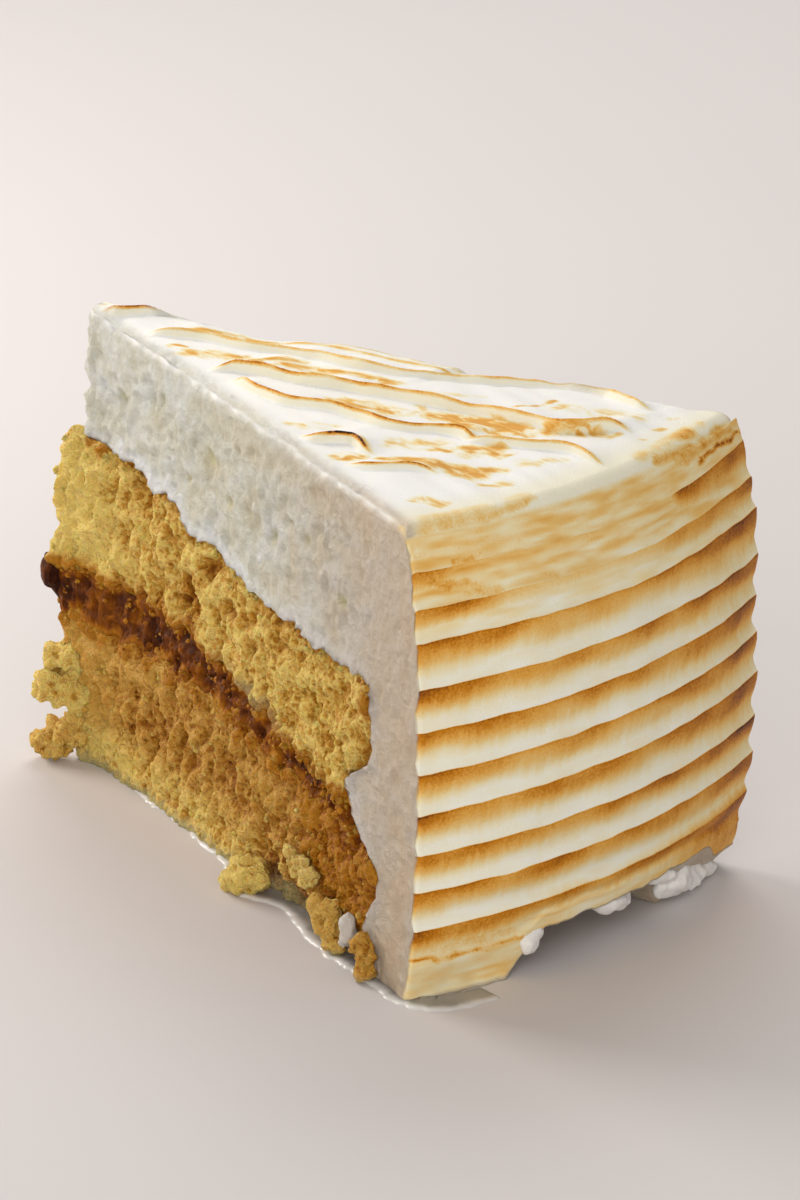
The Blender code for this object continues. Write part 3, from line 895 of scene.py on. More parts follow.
@dataclass(frozen=True)
class TornCrumb:
    """Relief of the cut faces of the core, shared by all its layers.

    One field runs over sponge and caramel alike, so that the surface passes from one
    to the next without a step. Sizes are in mm; each hollow and swell has its X and
    height, its width, and its depth or rise.
    """

    pore_spacing: float = 3.4
    small_pore_spacing: float = 1.5
    pore_squash: float = 0.62
    deepest: float = 4.0
    highest: float = 2.2
    hollows: tuple = (
        (17.0, 56.0, 2.4, 2.2), (15.5, 53.5, 1.6, 1.4), (28.0, 53.8, 2.2, 1.6),
        (57.9, 48.6, 1.7, 2.0), (62.0, 48.2, 2.2, 1.8), (32.4, 41.0, 2.1, 2.6),
        (30.0, 38.0, 1.5, 2.2), (38.0, 46.0, 1.6, 1.4), (46.5, 42.0, 1.3, 1.5),
        (53.0, 38.5, 1.4, 1.3), (91.8, 34.9, 3.0, 2.6), (88.0, 21.0, 2.4, 2.0),
        (86.0, 1.5, 4.6, 3.4), (68.0, 2.0, 5.5, 2.4), (60.0, 3.5, 4.5, 2.0),
    )
    swells: tuple = (
        (24.0, 43.5, 3.2, 0.9), (34.5, 43.0, 2.6, 0.8), (85.5, 37.0, 3.2, 1.0),
        (90.0, 45.0, 3.6, 0.8), (71.0, 8.0, 3.0, 1.5), (77.0, 3.5, 2.6, 1.5),
        (91.5, 17.0, 3.6, 1.3), (84.0, 21.5, 3.0, 0.9), (12.0, 21.0, 3.6, 0.8),
    )
    grain: Grain = field(default_factory=lambda: Grain(23))

    def _rounds(self, table: tuple, x: Array, z: Array, ragged: Array) -> Array:
        """Size of the largest of a table's hollows or swells at places on the cut.

        Args:
            table: X, height, width and size of each.
            x: Places along X in mm.
            z: Places along Z in mm.
            ragged: How far its rim is shaken there in mm.

        Returns:
            The size at each place.
        """
        best = np.zeros_like(x)
        for at, height, width, size in table:
            apart = np.hypot((x - at) / math.cos(FORM.half_angle), z - height)
            best = np.maximum(best, size * soft_peak(apart + ragged, width))
        return best

    def _creep(self, over: Array, under: Array, middle: Array) -> Array:
        """How brown the caramel has made the crumb over it and under it."""
        below = np.maximum(-under, 0.0)
        creep = np.where(over > 0.0, 0.95 * soft_peak(over, 1.7), 0.9 * soft_peak(below, 3.4))
        return creep * (1.0 + 0.9 * middle)

    def _crust(self, x: Array, y: Array, z: Array, near: Array, middle: Array, coarse: Array) -> Array:
        """How brown the layers are along their baked outside and low down.

        Args:
            x: Places along X in mm.
            y: Places along Y in mm.
            z: Places along Z in mm.
            near: 1 on a cut face, fading to 0 inside.
            middle: Relief in swells of medium width, which breaks the top crust.
            coarse: Relief in wide swells, which breaks the outer crust.

        Returns:
            The share of brown, from 0 to 1.
        """
        end = np.maximum(along(FORM.core_profile, z) - np.hypot(x, y), 0.0)
        crust = 0.9 * soft_peak(end, 1.5) * smooth_step(-0.25, 0.3, coarse + 0.25)
        top_gap = np.maximum(FORM.core_top(x, y, near) - z, 0.0)
        top_crust = 0.8 * soft_peak(top_gap, 1.3) * smooth_step(-0.2, 0.3, middle)
        low_right = 0.5 * smooth_step(64.0, 84.0, x) * smooth_step(24.0, 15.0, z)
        low_down = 0.5 * smooth_step(28.0, 21.0, z) * smooth_step(2.0, 12.0, z) + low_right
        return np.maximum.reduce([crust, top_crust, low_down])

    def _milk(self, x: Array, z: Array, front: Array, over: Array, crumbly: Array) -> Array:
        """How much milk stands in the crumb: at the foot, and in two wet patches.

        Args:
            x: Places along X in mm.
            z: Places along Z in mm.
            front: 1 on the front cut, 0 behind.
            over: Height above the caramel in mm.
            crumbly: Fine relief that makes its edge ragged.

        Returns:
            The share of milk, from 0 to 1.
        """
        foot = 0.75 * smooth_step(2.6, 0.4, z + 0.9 * crumbly)
        on_caramel = 0.6 * front * soft_peak(x - 53.0, 9.0) * soft_peak(over - 1.2, 1.3)
        puddle = 0.85 * front * soft_peak(x - 63.0, 4.5) * smooth_step(5.5, 2.5, z)
        return np.maximum.reduce([foot, on_caramel, puddle])

    def read(self, x: Array, y: Array, z: Array, near: Array) -> Marks:
        """Relief and marks at places on the cut.

        Args:
            x: Places along X in mm from the tip.
            y: Places along Y in mm.
            z: Places along Z in mm.
            near: 1 on a cut face, fading to 0 inside.

        Returns:
            "relief" in mm outwards, and the marks that the finishes read.
        """
        grain = self.grain
        # Pores are read at shaken places, taller than wide, so that none is round.
        shake = [0.5 * grain.smooth(x + 31.0 * turn, y, z, 1.6) for turn in range(3)]
        sx, sy, sz = x + shake[0], y + shake[1], self.pore_squash * (z + shake[2])
        apart, owner = grain.cells(sx, sy, sz, self.pore_spacing)
        pore = limit(1.25 - apart / (0.2 + 0.2 * owner)) * (owner > 0.25) * (0.5 + 0.9 * owner)
        apart, small_owner = grain.cells(sx + 50.0, sy, sz, self.small_pore_spacing)
        small = limit(1.2 - apart / 0.34) * (small_owner > 0.4)
        coarse = grain.smooth(x, y, z + 60.0, 8.0)
        middle = grain.smooth(x + 20.0, y, z, (3.6, 3.6, 4.6))
        puffs = 0.5 - 2.2 * np.abs(grain.smooth(x, y + 35.0, z, (2.7, 2.7, 3.4)))
        pillars = grain.smooth(x, y, z + 15.0, (1.9, 1.9, 3.6))
        crumbly = grain.rough(x, y, z, 1.5, 3)
        strands = grain.rough(x, y, z * 0.35, 1.5, 2)
        over = z - FORM.caramel_top(x, y, near)
        under = z - FORM.caramel_bottom(x, y, near)
        caramel = smooth_step(-0.8, 0.9, under) * smooth_step(-0.8, 0.9, -over)

        front = (y < 0.0).astype(float)
        hollow = front * self._rounds(self.hollows, x, z, 0.5 * crumbly)
        swell = front * self._rounds(self.swells, x, z, 0.4 * crumbly)
        low_down = smooth_step(0.0, 6.0, z)
        swollen = (1.35 * middle + 0.7 * pillars + 0.4 * puffs) * low_down
        sponge_relief = 0.9 * coarse + swollen + 0.5 * crumbly
        caramel_relief = 0.9 * coarse + 0.7 * middle + 0.75 * strands + 0.5 * crumbly - 0.6
        relief = sponge_relief * (1.0 - caramel) + caramel_relief * caramel
        open_pores = (1.5 * pore + 0.6 * small) * (1.0 - 0.5 * caramel) * low_down
        relief = np.clip(relief - hollow + swell - open_pores, -self.deepest, self.highest)

        # Raised crumb is pale and pores and hollows are darker, which is painted shade; the strands at the
        # caramel's edges are pale too, and the thin tip is painted paler as light.
        lump = 0.52 + 0.24 * (sponge_relief - 0.2 * coarse) - 0.22 * hollow - 0.32 * pore - 0.18 * small
        from_edge = np.minimum(under, -over)
        lump = lump + 0.5 * caramel * smooth_step(2.0, 0.2, from_edge + 1.2 * middle)
        lump = limit(lump) + 0.55 * soft_peak(x + 2.0, 10.0) * (1.0 - caramel)
        creep, crust = self._creep(over, under, middle), self._crust(x, y, z, near, middle, coarse)
        # The wide hollows are also painted browner, as shade.
        stain = np.maximum.reduce([creep, crust, 0.34 * np.clip(hollow, 0.0, 2.4)])
        return {
            "relief": relief,
            "lump": limit(lump) * (1.0 - 0.3 * caramel),
            "stain": limit(stain),
            "milk": limit(self._milk(x, z, front, over, crumbly)),
            "tint": owner,
        }


CRUMB = TornCrumb()


@dataclass
class CoreLayer:
    """One layer of the core, from the tip to the coat.

    Its rows follow the distance from the tip, its columns run across the slice and
    its levels rise from its underside to its top. Near the tip it swells out, and in
    its outer part its rows crowd to end at the core's ragged edge. Sizes are in mm.
    """

    node: str
    slot: Slot
    bottom: Level
    top: Level
    rows: int = 292
    columns: int = 24
    levels: int = 70
    tip_swell: tuple = (
        (0.0, 1.5), (12.0, 2.5), (18.0, 3.4), (22.5, 4.0), (26.5, 5.0), (30.0, 6.0), (34.0, 6.8),
        (36.5, 6.2), (39.5, 4.6), (46.5, 5.6), (52.5, 4.6), (57.0, 1.2),
    )
    swell_reach: float = 13.0
    outer_part: float = 80.0
    swell_direction: tuple[float, float] = (-0.86, -0.5)

    def surface(self, reach: Array, across: Array, share: Array) -> tuple[Array, Marks]:
        """Places on the layer.

        Args:
            reach: Distance from the tip in mm.
            across: Place across the slice, from -1 to 1.
            share: Height within the layer, from 0 to 1.

        Returns:
            Places in metres in the frame, and the marks on them.
        """
        near = FORM.near_edge(reach, across)
        x, y = FORM.plan(reach, across)
        height = self.bottom(x, y, near) * (1.0 - share) + self.top(x, y, near) * share
        edge = FORM.core_edge(height, y, near)
        start = self.outer_part
        beyond = np.maximum(reach - start, 0.0) * (edge - start) / (FORM.core_reach - start)
        x, y = FORM.plan(np.minimum(reach, start) + beyond, across)
        swell = soft_along(self.tip_swell, height, 1.5)
        swell = swell * soft_peak(reach, self.swell_reach) * (0.8 - 0.2 * across)
        x = x + self.swell_direction[0] * swell
        y = y + self.swell_direction[1] * swell
        z = self.bottom(x, y, near) * (1.0 - share) + self.top(x, y, near) * share
        marks = CRUMB.read(x, y, z, near)
        relief = marks.pop("relief") * near * (1.0 - 0.2 * soft_peak(reach, 3.0))
        out_x, out_y = FORM.outward(reach, across)
        lift = np.where(z < 0.8, 0.0, 0.25) * CRUMB.grain.smooth(x, y, z + 33.0, 1.6) * near
        inside = np.minimum(share, 1.0 - share)
        z = np.clip(z + lift * smooth_step(0.0, 0.03, inside), 0.02, None)
        return FORM.to_frame(x + out_x * relief, y + out_y * relief, z), marks

    def shape(self, i: Array, j: Array, k: Array) -> tuple[Array, Marks]:
        """Places and marks of stations, from their row, column and level."""
        reach = FORM.core_reach * i / (self.rows - 1.0)
        line = 2.0 * j / (self.columns - 1.0) - 1.0
        across = np.sign(line) * np.abs(line) ** 0.7
        return self.surface(reach, across, k / (self.levels - 1.0))

    def build(self, finish: Material) -> Piece:
        """Make the layer and dress it.

        Args:
            finish: Material to wear.

        Returns:
            The finished piece.
        """
        counts = (self.rows, self.columns, self.levels)
        piece = bend_block(f"{self.node}_crumb", counts, self.shape, hidden=("i1", "k0", "k1"))
        finish_piece(piece, finish, self.node)
        return piece


# ---- the coat


@dataclass(frozen=True)
class KnifeWave:
    """A wave that the palette knife left in the top, steep on its -Y side.

    Attributes:
        rise: Height of its lip in mm.
        burn: How dark its lip is, from 0 to 1.
        line: Its points in mm from the tip, in order of X.
    """

    rise: float
    burn: float
    line: tuple

    @property
    def ends(self) -> tuple[float, float]:
        """X of its two ends."""
        return self.line[0][0], self.line[-1][0]


@dataclass(frozen=True)
class TorchMark:
    """A place that the flame browned.

    Attributes:
        strength: How brown, from 0 to about 1.
        width: Half its width in mm.
        line: The points that it runs through, in mm.
    """

    strength: float
    width: float
    line: tuple

    def read(self, x: Array, y: Array) -> Array:
        """Strength of the mark at places, in mm."""
        best = np.full(np.shape(x), 1e9)
        for (x0, y0), (x1, y1) in zip(self.line, self.line[1:]):
            length = max(math.hypot(x1 - x0, y1 - y0), 1e-6)
            share = limit(((x - x0) * (x1 - x0) + (y - y0) * (y1 - y0)) / length**2)
            best = np.minimum(best, np.hypot(x - x0 - share * (x1 - x0), y - y0 - share * (y1 - y0)))
        return self.strength * soft_peak(best, 1.25 * self.width)


def strongest(marks: tuple[TorchMark, ...], x: Array, y: Array) -> Array:
    """Strength of the strongest of some marks at places, in mm."""
    best = np.zeros_like(x)
    for mark in marks:
        best = np.maximum(best, mark.read(x, y))
    return best


WAVES = (
    KnifeWave(1.5, 0.5, (
        (15.5, -3.6), (19.5, -0.9), (22, 0.9), (25.5, 2.1), (29.5, 2.6), (35.5, 5.1), (42.5, 7.1),
        (50, 8), (56.5, 10.6), (60, 13.5), (66, 18.4), (71, 22.6), (76, 26.6), (80, 28.6), (84, 29),
        (88, 28), (93, 27.4),
    )),
    KnifeWave(2.0, 0.74, (
        (34.5, -8.8), (36, -6.7), (41, -5), (48.5, -3.6), (54.5, -0.9), (61, 1.1), (69, 3.6),
        (77.5, 6.1), (88, 8.3), (91.5, 8.4), (93.5, 9.4), (95.2, 12), (97, 15.4), (99, 15.8),
    )),
    KnifeWave(1.6, 0.76, (
        (41, -10.6), (46.5, -11.8), (52, -12), (55.5, -11.1), (61.5, -9), (70, -8.7), (73.5, -7.8),
        (76, -6), (78.5, -4.2), (82, -3.1), (85.5, -3.6),
    )),
    KnifeWave(1.4, 0.56, ((84.5, -4.2), (89, -1.8), (94.5, 1.2), (97, 3), (99.5, 3.7), (105.5, 2.7))),
    KnifeWave(1.7, 1.1, (
        (66, -21), (68.4, -20.6), (69.9, -18.6), (71.2, -16.9), (72.8, -16.9), (75, -18),
        (77, -18.7),
    )),
    KnifeWave(1.1, 0.78, (
        (79, -24.8), (82.3, -24), (84, -22.4), (85.8, -20.6), (88, -18.7), (90, -18.4),
    )),
    KnifeWave(1.5, 0.8, ((3, -2.4), (6.4, -1.2), (8, 1), (9.4, 4.3), (11.3, 6), (13.5, 6.4))),
    KnifeWave(0.6, 0.5, ((32.4, 8.4), (40.3, 11.6), (49, 13.7), (57.5, 16.2), (64, 18.6))),
    KnifeWave(0.4, 0.4, ((34.8, 10.8), (42, 14), (50, 17.4))),
    KnifeWave(0.6, 0.55, ((35.3, -2.4), (36.4, 0.6), (38.2, 2.4), (42, 4))),
)

# Marks on the top: strength, half width, then the X and Y of the line's corners, in mm.
TOP_MARKS = tuple(starmap(TorchMark, (
    (0.8, 0.6, ((21.7, -5), (23.4, -4))),
    (0.75, 1.5, ((25.5, -5.9), (28.9, -3.2))),
    (0.85, 1.3, ((29, -4.5), (33.6, -1.2))),
    (0.7, 1.0, ((36, -1.6), (38.5, 2.6), (41.5, 4.2))),
    (0.9, 1.4, ((40.6, -0.1), (46.3, 3), (53, 5), (58.5, 6.5))),
    (0.85, 2.3, ((58.5, -7), (62, -4.6), (67.5, -3.6))),
    (0.75, 0.8, ((68.3, 1.5), (71.3, 0.7))),
    (0.6, 0.6, ((69, 2), (70.5, -2.5))),
    (1.05, 2.2, ((73.7, 0.4), (80.2, 3), (86.2, 4.4))),
    (0.95, 1.8, ((79, -1.2), (86, 1))),
    (1.0, 0.7, ((86.3, 1), (90.5, 3.2))),
    (0.8, 0.4, ((87.9, 6.3), (90.2, 4.2))),
    (0.85, 1.5, ((90.6, 6.5), (94.8, 10), (97.2, 11.8))),
    (0.5, 1.4, ((60, -18.2), (65.5, -14.6))),
    (0.95, 1.4, ((74.7, -23), (77.3, -21.7))),
    (1.0, 1.0, ((80.5, -19.8), (86.3, -15.9))),
    (1.0, 1.9, ((87.4, -16), (91.6, -14.9), (95.2, -14.4))),
    (0.95, 1.2, ((94.5, -12), (95.9, -10))),
    (0.75, 1.9, ((77.3, -13), (82.2, -8.1))),
    (1.2, 0.8, ((83.4, -10.7), (85.3, -10.1))),
    (1.0, 1.3, ((86.4, -7.1), (90.2, -3.3))),
    (0.95, 1.3, ((88.5, -8.7), (91.5, -5.1))),
    (0.7, 0.5, ((93.2, -6.5), (93.2, -3.4))),
    (0.6, 1.1, ((98.7, -17.1), (101.4, -13.2))),
    (0.55, 1.4, ((97.4, -6.1), (100.3, -0.7))),
    (1.0, 0.45, ((79.8, 11.5), (81.2, 13.5), (81.7, 16), (80.6, 20))),
    (0.65, 1.3, ((84, 15.8), (83.8, 18.8))),
    (0.5, 2.4, ((86.7, 18.5), (90.3, 19.6), (95.9, 22.6))),
    (0.75, 0.8, ((99.2, 11.9), (99.2, 13.8))),
    (0.7, 0.5, ((102.8, 14.8), (103.4, 16))),
    (0.6, 0.7, ((101.2, 20.2), (102.2, 22.5))),
    (0.5, 0.8, ((98.4, 25.6), (99.7, 27.6))),
    (0.4, 1.3, ((62.8, 3.7), (72.5, 11.5))),
    (0.5, 1.2, ((15.9, 7.3), (22.4, 9.7))),
    (0.8, 1.3, ((20, 2.6), (25, 4.6), (32, 7))),
    (0.55, 0.9, ((2.2, 0.4), (4, 2.2))),
    (0.65, 1.5, ((96.2, -28.6), (99.7, -27))),
    (0.5, 0.9, ((50, 16), (60, 19.5))),
)))

# Marks on the outer wall, by distance round the wall from its middle and height, in mm.
WALL_MARKS = tuple(starmap(TorchMark, (
    (0.55, 1.5, ((-39, 74.2), (-37.3, 75.7), (-34.7, 76.3), (-29.4, 76.3), (-23.9, 76.2))),
    (0.6, 0.8, ((-23.9, 76.2), (-19, 76.5), (-16, 76.7))),
    (0.9, 1.3, ((-39, 69.2), (-36.5, 68.4), (-34.5, 67.7), (-33, 67.4))),
    (0.8, 1.1, ((-33, 67.2), (-29.2, 67))),
    (0.95, 0.8, ((-32, 70.9), (-28.4, 71.2))),
    (0.7, 0.9, ((-16.8, 65.6), (-13.8, 65.4))),
    (0.6, 1.0, ((-31, 65.9), (-23.5, 65.2))),
    (0.4, 1.6, ((-39, 72.5), (-20, 72.5))),
    (0.75, 0.8, ((8, 78), (17, 77.8), (24.5, 77.2))),
    (0.9, 0.8, ((23, 77.2), (25.5, 77.2))),
    (1.0, 0.8, ((25, 77.3), (29.6, 78), (35.3, 78.2))),
    (0.85, 0.8, ((14, 76), (23, 75), (29.8, 74.8), (36, 74.7))),
    (1.25, 0.5, ((23, 72.9), (28, 73.3), (31.7, 73.5), (37, 73.4))),
    (0.8, 0.9, ((17.5, 74.9), (23, 74.1))),
    (1.0, 0.4, ((-39, 6.9), (-30, 6.5), (-18, 7.0))),
    (0.55, 1.6, ((-39, 9.0), (-20, 8.8))),
)))


@dataclass(frozen=True)
class Stations:
    """Stations of the coat, an entry for each one in every list.

    Attributes:
        row: Row, from the tip over the top and down the wall.
        across: Place across the slice, from -1 to 1.
        depth: Place in the thickness, from 0 at the core to 1 at the skin.
        reach: Distance of the row from the tip in mm, before it turns down.
        level: Height of the row on the wall in mm, before it climbs.
        share: 1, and falling to 0 down the lowest rows, which end at the foot.
        at_side: Whether it lies in a cut face or at the tip.
        on_top: Whether it is in a row over the top or round the rim.
        on_skin: Whether it is on the skin.
        on_core: Whether it is against the core.
        on_foot: Whether it is on the underside of the wall.
        arc_radius: Radius in mm at which distances round the wall are reckoned.
    """

    row: Array
    across: Array
    depth: Array
    reach: Array
    level: Array
    share: Array
    at_side: Array
    on_top: Array
    on_skin: Array
    on_core: Array
    on_foot: Array
    arc_radius: float

    @cached_property
    def degrees(self) -> Array:
        """Angle from the middle of the slice."""
        return np.degrees(self.across * FORM.half_angle)

    @cached_property
    def arc(self) -> Array:
        """Distance round the wall from its middle in mm."""
        return self.degrees * math.radians(1.0) * self.arc_radius

    @cached_property
    def edge(self) -> Array:
        """Distance from the nearest cut face in mm."""
        return FORM.edge_distance(self.reach, self.across)

    @cached_property
    def near(self) -> Array:
        """1 at a cut face, fading to 0 inside."""
        return FORM.near_edge(self.reach, self.across)

    @cached_property
    def out(self) -> tuple[Array, Array]:
        """Direction in plan that the nearest cut face looks in."""
        past_nose = 50.0
        return FORM.outward(np.where(self.on_top, self.reach, past_nose), self.across)


@dataclass
class MeringueCoat:
    """The coat: a slab of meringue bent over the rim, torn on its cut faces.

    Rows run over the top from the tip to the rim and down the wall, columns run
    across the slice, and depths run from the core outwards. Sizes are in mm. The
    tables of the foot and the flame run round the wall in degrees from its middle,
    those of the wall run up it, and back_edge runs along X from the tip.
    """

    top_level: float = 77.5
    rim_start: float = 107.0
    rim_radius: float = 2.0
    rim_turn: float = math.radians(75.0)
    wall_top: float = 75.3
    wall_radius: float = 113.0
    wall_step: float = 0.45
    core_gap: float = 0.04
    core_squeeze_start: float = 40.0
    core_wall_top: float = 47.2
    top_rows: int = 226
    rim_rows: int = 8
    foot_rows: int = 18
    columns: int = 128
    column_steps: int = 801
    calm_rows: float = 60.0
    depth_count: int = 42
    comb_rows: tuple = (0.14, 0.0, -0.12, -0.4, -0.8, -1.3, -1.9, -2.5, -3.1, -3.6, -4.1, -4.6, -5.2)
    comb_end: float = 11.3
    comb_stand: float = 0.48
    comb_depth: float = 0.86
    crests: tuple = (12.5, 19.2, 25.4, 32.0, 38.5, 45.3, 52.2, 59.6, 64.6, 70.2)
    lowest_gap: float = 7.0
    # Cream of the wall by height: its own tone, deepened at the very foot as painted shade.
    cream: tuple = (
        (0.0, 1.1), (2.5, 1.25), (6.0, 1.15), (10.0, 1.0), (13.0, 0.36), (58.0, 0.42), (64.0, 1.05),
        (68.0, 1.5), (75.0, 1.45), (78.0, 0.45),
    )
    wall_profile: tuple = (
        (0.0, 109.4), (6.0, 111.5), (17.0, 113.4), (34.0, 113.9), (56.0, 113.2), (62.0, 112.6),
        (68.0, 111.5), (72.0, 110.6), (75.3, 109.4), (78.5, 108.2),
    )
    climb: tuple = (
        (0.0, 0.9), (25.4, 0.9), (32.0, 1.8), (38.5, 1.9), (45.3, 1.5), (52.2, 1.1), (59.6, 1.4),
        (64.6, 1.5), (70.2, 1.6), (75.3, 0.0),
    )
    flame_usual: tuple = (
        (-20, 1.02), (-17, 0.95), (-13, 0.86), (0, 0.85), (5, 0.94), (12, 1.0), (20, 1.07),
    )
    flame_ninth: tuple = (
        (-20, 1.0), (-14, 0.78), (-8, 0.5), (-2, 0.45), (4, 0.62), (8, 0.95), (20, 1.05),
    )
    flame_tenth: tuple = (
        (-20, 0.85), (-16, 0.68), (-10, 0.5), (0, 0.42), (7, 0.42), (8.2, 0.98), (16, 1.05),
        (20, 1.0),
    )
    flame_ninth_from: float = 59.7
    flame_tenth_from: float = 64.8
    sag: tuple = ((52.2, 0.0), (59.6, 0.6), (64.6, 0.8), (70.2, 1.1), (74.0, 0.3))
    back_edge: tuple = (
        (0, 0.5), (15, 0.2), (21, -0.2), (28, -0.9), (34, -0.7), (41, 0.0), (54, -0.4),
        (59.5, -0.7), (61, -1.7), (70, -1.7), (78, -1.3), (84, -1.8), (92, -1.3), (101, -1.9),
        (107, -2.0),
    )
    foot_outside: tuple = (
        (-20, 0), (-10.5, 0), (-9, 3.0), (-7.5, 7.2), (8, 7.8), (14, 8), (15.5, 4.5), (20, 3.6),
    )
    foot_middle: tuple = (
        (-20, 0), (-9, 0), (-7, 7.6), (0, 7.6), (1.6, 4.6), (3.3, 7.8), (7.5, 7.8), (9, 0), (20, 0),
    )
    foot_inside: tuple = ((-20, 0), (-9, 0), (-7, 6.5), (7, 6.5), (8.5, 0), (20, 0))
    foam_pits: tuple = (
        (11, 66, 1.0), (24, 70, 0.8), (40, 66, 1.3), (47, 61, 1.0), (60, 60, 1.0), (33, 60, 0.8),
        (72, 64, 1.0), (83, 58, 0.9),
    )
    grain: Grain = field(default_factory=lambda: Grain(47))

    def __post_init__(self) -> None:
        """Set out the rows, columns and depths."""
        top = np.linspace(0.0, self.rim_start, self.top_rows)
        turn = np.linspace(0.0, self.rim_turn, self.rim_rows + 1)[1:]
        heights = set(np.arange(self.crests[-1] + 0.5, self.wall_top + 0.01, self.wall_step).round(3))
        for crest in self.crests:
            heights |= {round(crest + step, 3) for step in self.comb_rows if crest + step > self.comb_end}
        wall = np.array(sorted(heights, reverse=True))
        foot = np.linspace(1.0, 0.0, self.foot_rows + 1)[1:]
        self.count_top = len(top)
        self.count_over = len(top) + len(turn)
        blank = np.zeros
        below_rim = len(wall) + len(foot)
        self.outer_reach = np.concatenate([top, np.full(len(turn) + below_rim, self.rim_start)])
        self.turn = np.concatenate([blank(len(top)), turn, blank(below_rim)])
        self.level = np.concatenate([blank(self.count_over), wall, np.full(len(foot), wall[-1])])
        self.comb_level = np.concatenate([self.level[: -len(foot)], wall[-1] * foot])
        self.foot_share = np.concatenate([np.ones(self.count_over + len(wall)), foot])
        self.rows = len(self.outer_reach)
        start = FORM.straight_end
        squeeze = (FORM.core_reach - start) / (self.rim_start + self.rim_radius - start)
        reach = self.outer_reach + self.rim_radius * np.sin(self.turn)
        self.inner_reach = np.where(reach > start, start + (reach - start) * squeeze, reach)
        low = self.core_squeeze_start
        crowd = (self.core_wall_top - low) / (self.wall_top - low)
        self.inner_level = np.minimum(self.level, low + (self.level - low) * crowd)
        self.depths = np.linspace(0.0, 1.0, self.depth_count) ** 0.9
        self.across = self._set_columns()

    def _wave_line(self, wave: KnifeWave, x: Array) -> Array:
        """Y of a wave's crest at X, with the knife's small wobbles."""
        zero = 0.0 * x
        wobble = 0.25 * self.grain.smooth(x, zero + wave.line[0][1] * 7.0, zero, 5.5)
        return soft_along(wave.line, x, 1.2) + wobble

    def _set_columns(self) -> Array:
        """Places across each row, crowded along the crests of the waves."""
        fine = np.linspace(-1.0, 1.0, self.column_steps)
        table = np.empty((self.rows, self.columns))
        for row, reach in enumerate(self.outer_reach):
            on_top = row < self.count_top
            calm = 1.0 if on_top else max(0.0, 1.0 - (row - self.count_top) / self.calm_rows)
            x, y = FORM.plan(np.full(len(fine), reach), fine)
            crowd = np.ones(len(fine))
            for wave in WAVES:
                start, end = wave.ends
                shown = smooth_step(start - 6.0, start, x) * (1.0 - smooth_step(end, end + 6.0, x))
                crowd += calm * 4.5 * shown * soft_peak(y + 0.5 - self._wave_line(wave, x), 1.5)
            crowd += 2.0 * soft_peak((1.0 - np.abs(fine)) * FORM.half_width(reach), 1.2)
            total = np.concatenate([[0.0], np.cumsum((crowd[1:] + crowd[:-1]) / 2.0)])
            table[row] = np.interp(np.linspace(0.0, total[-1], self.columns), total, fine)
        return table

    def top_relief(self, x: Array, y: Array) -> tuple[Array, Array, Array]:
        """Knife waves in the top.

        Args:
            x: Places along X in mm from the tip.
            y: Places along Y in mm.

        Returns:
            Height above the level top in mm, how dark the lips of the waves are, and
            where their steep sides are.
        """
        zero = 0.0 * x
        rise, dark, steep = np.zeros_like(x), np.zeros_like(x), np.zeros_like(x)
        for wave in WAVES:
            start, end = wave.ends
            line = self._wave_line(wave, x)
            slope = (self._wave_line(wave, x + 0.5) - line) / 0.5
            behind = (y - line) / np.hypot(1.0, slope)
            past = np.maximum(behind, 0.0)
            fade = smooth_step(start - 1.5, start + 3.0, x) * (1.0 - smooth_step(end - 3.0, end + 2.0, x))
            fade = fade * (1.0 + 0.35 * self.grain.smooth(x, zero + wave.line[0][1], zero + 9.0, 9.0))
            front = limit(1.0 + behind / 1.2)
            back = 0.35 * np.exp(-past / 0.9) + 0.65 * np.exp(-past / 4.0)
            rise = np.maximum(rise, wave.rise * fade * np.where(behind < 0.0, front**0.8, back))
            edge = limit(4.0 * front) / 1.5
            steep = np.maximum(steep, wave.rise * fade * (behind < 0.1) * edge)
            broken = 0.85 + 0.55 * self.grain.smooth(x, zero, zero + wave.line[0][1], 3.2)
            shown = wave.burn * limit(1.6 * fade)
            dark = np.maximum(dark, shown * np.clip(broken, 0.45, 1.0) * soft_peak(behind + 0.05, 0.34))
            smoke = 0.5 * soft_peak(past, 0.9) * (behind > -0.4)
            dark = np.maximum(dark, shown * smoke * limit(1.3 * broken - 0.3))
        knife = 0.3 * self.grain.smooth(x - 0.25 * y, y + 0.25 * x, zero, (17.0, 3.6, 9.0))
        return rise + knife + 0.22 * self.grain.smooth(x, y, zero + 3.0, 10.0), dark, limit(steep)

    def comb(self, level: Array) -> tuple[Array, Array]:
        """Comb marks down the wall.

        Args:
            level: Height in mm before the rows climb.

        Returns:
            How far the wall stands out in mm, and the place below the next crest,
            from 0 at that crest to 1 at the one beneath.
        """
        stand, depth = self.comb_stand, self.comb_depth
        offset, below = np.zeros_like(level), np.ones_like(level)
        for crest, gap in zip(self.crests, [self.lowest_gap, *np.diff(self.crests)]):
            down = (crest - level) / gap
            inside = (down >= -1e-6) & (down < 0.999)
            face = stand - depth * limit(down / 0.62) ** 1.6
            valley = stand - depth + depth * limit((down - 0.7) / 0.3) ** 2.0
            offset = np.where(inside, np.where(down < 0.66, face, valley), offset)
            below = np.where(inside, limit(down), below)
        top = self.crests[-1]
        offset = np.where(level > top + 0.01, stand * np.exp(-(level - top) / 0.8) - 0.1, offset)
        smear = 1.0 - 0.55 * smooth_step(60.0, 72.0, level)
        return offset * smear, below

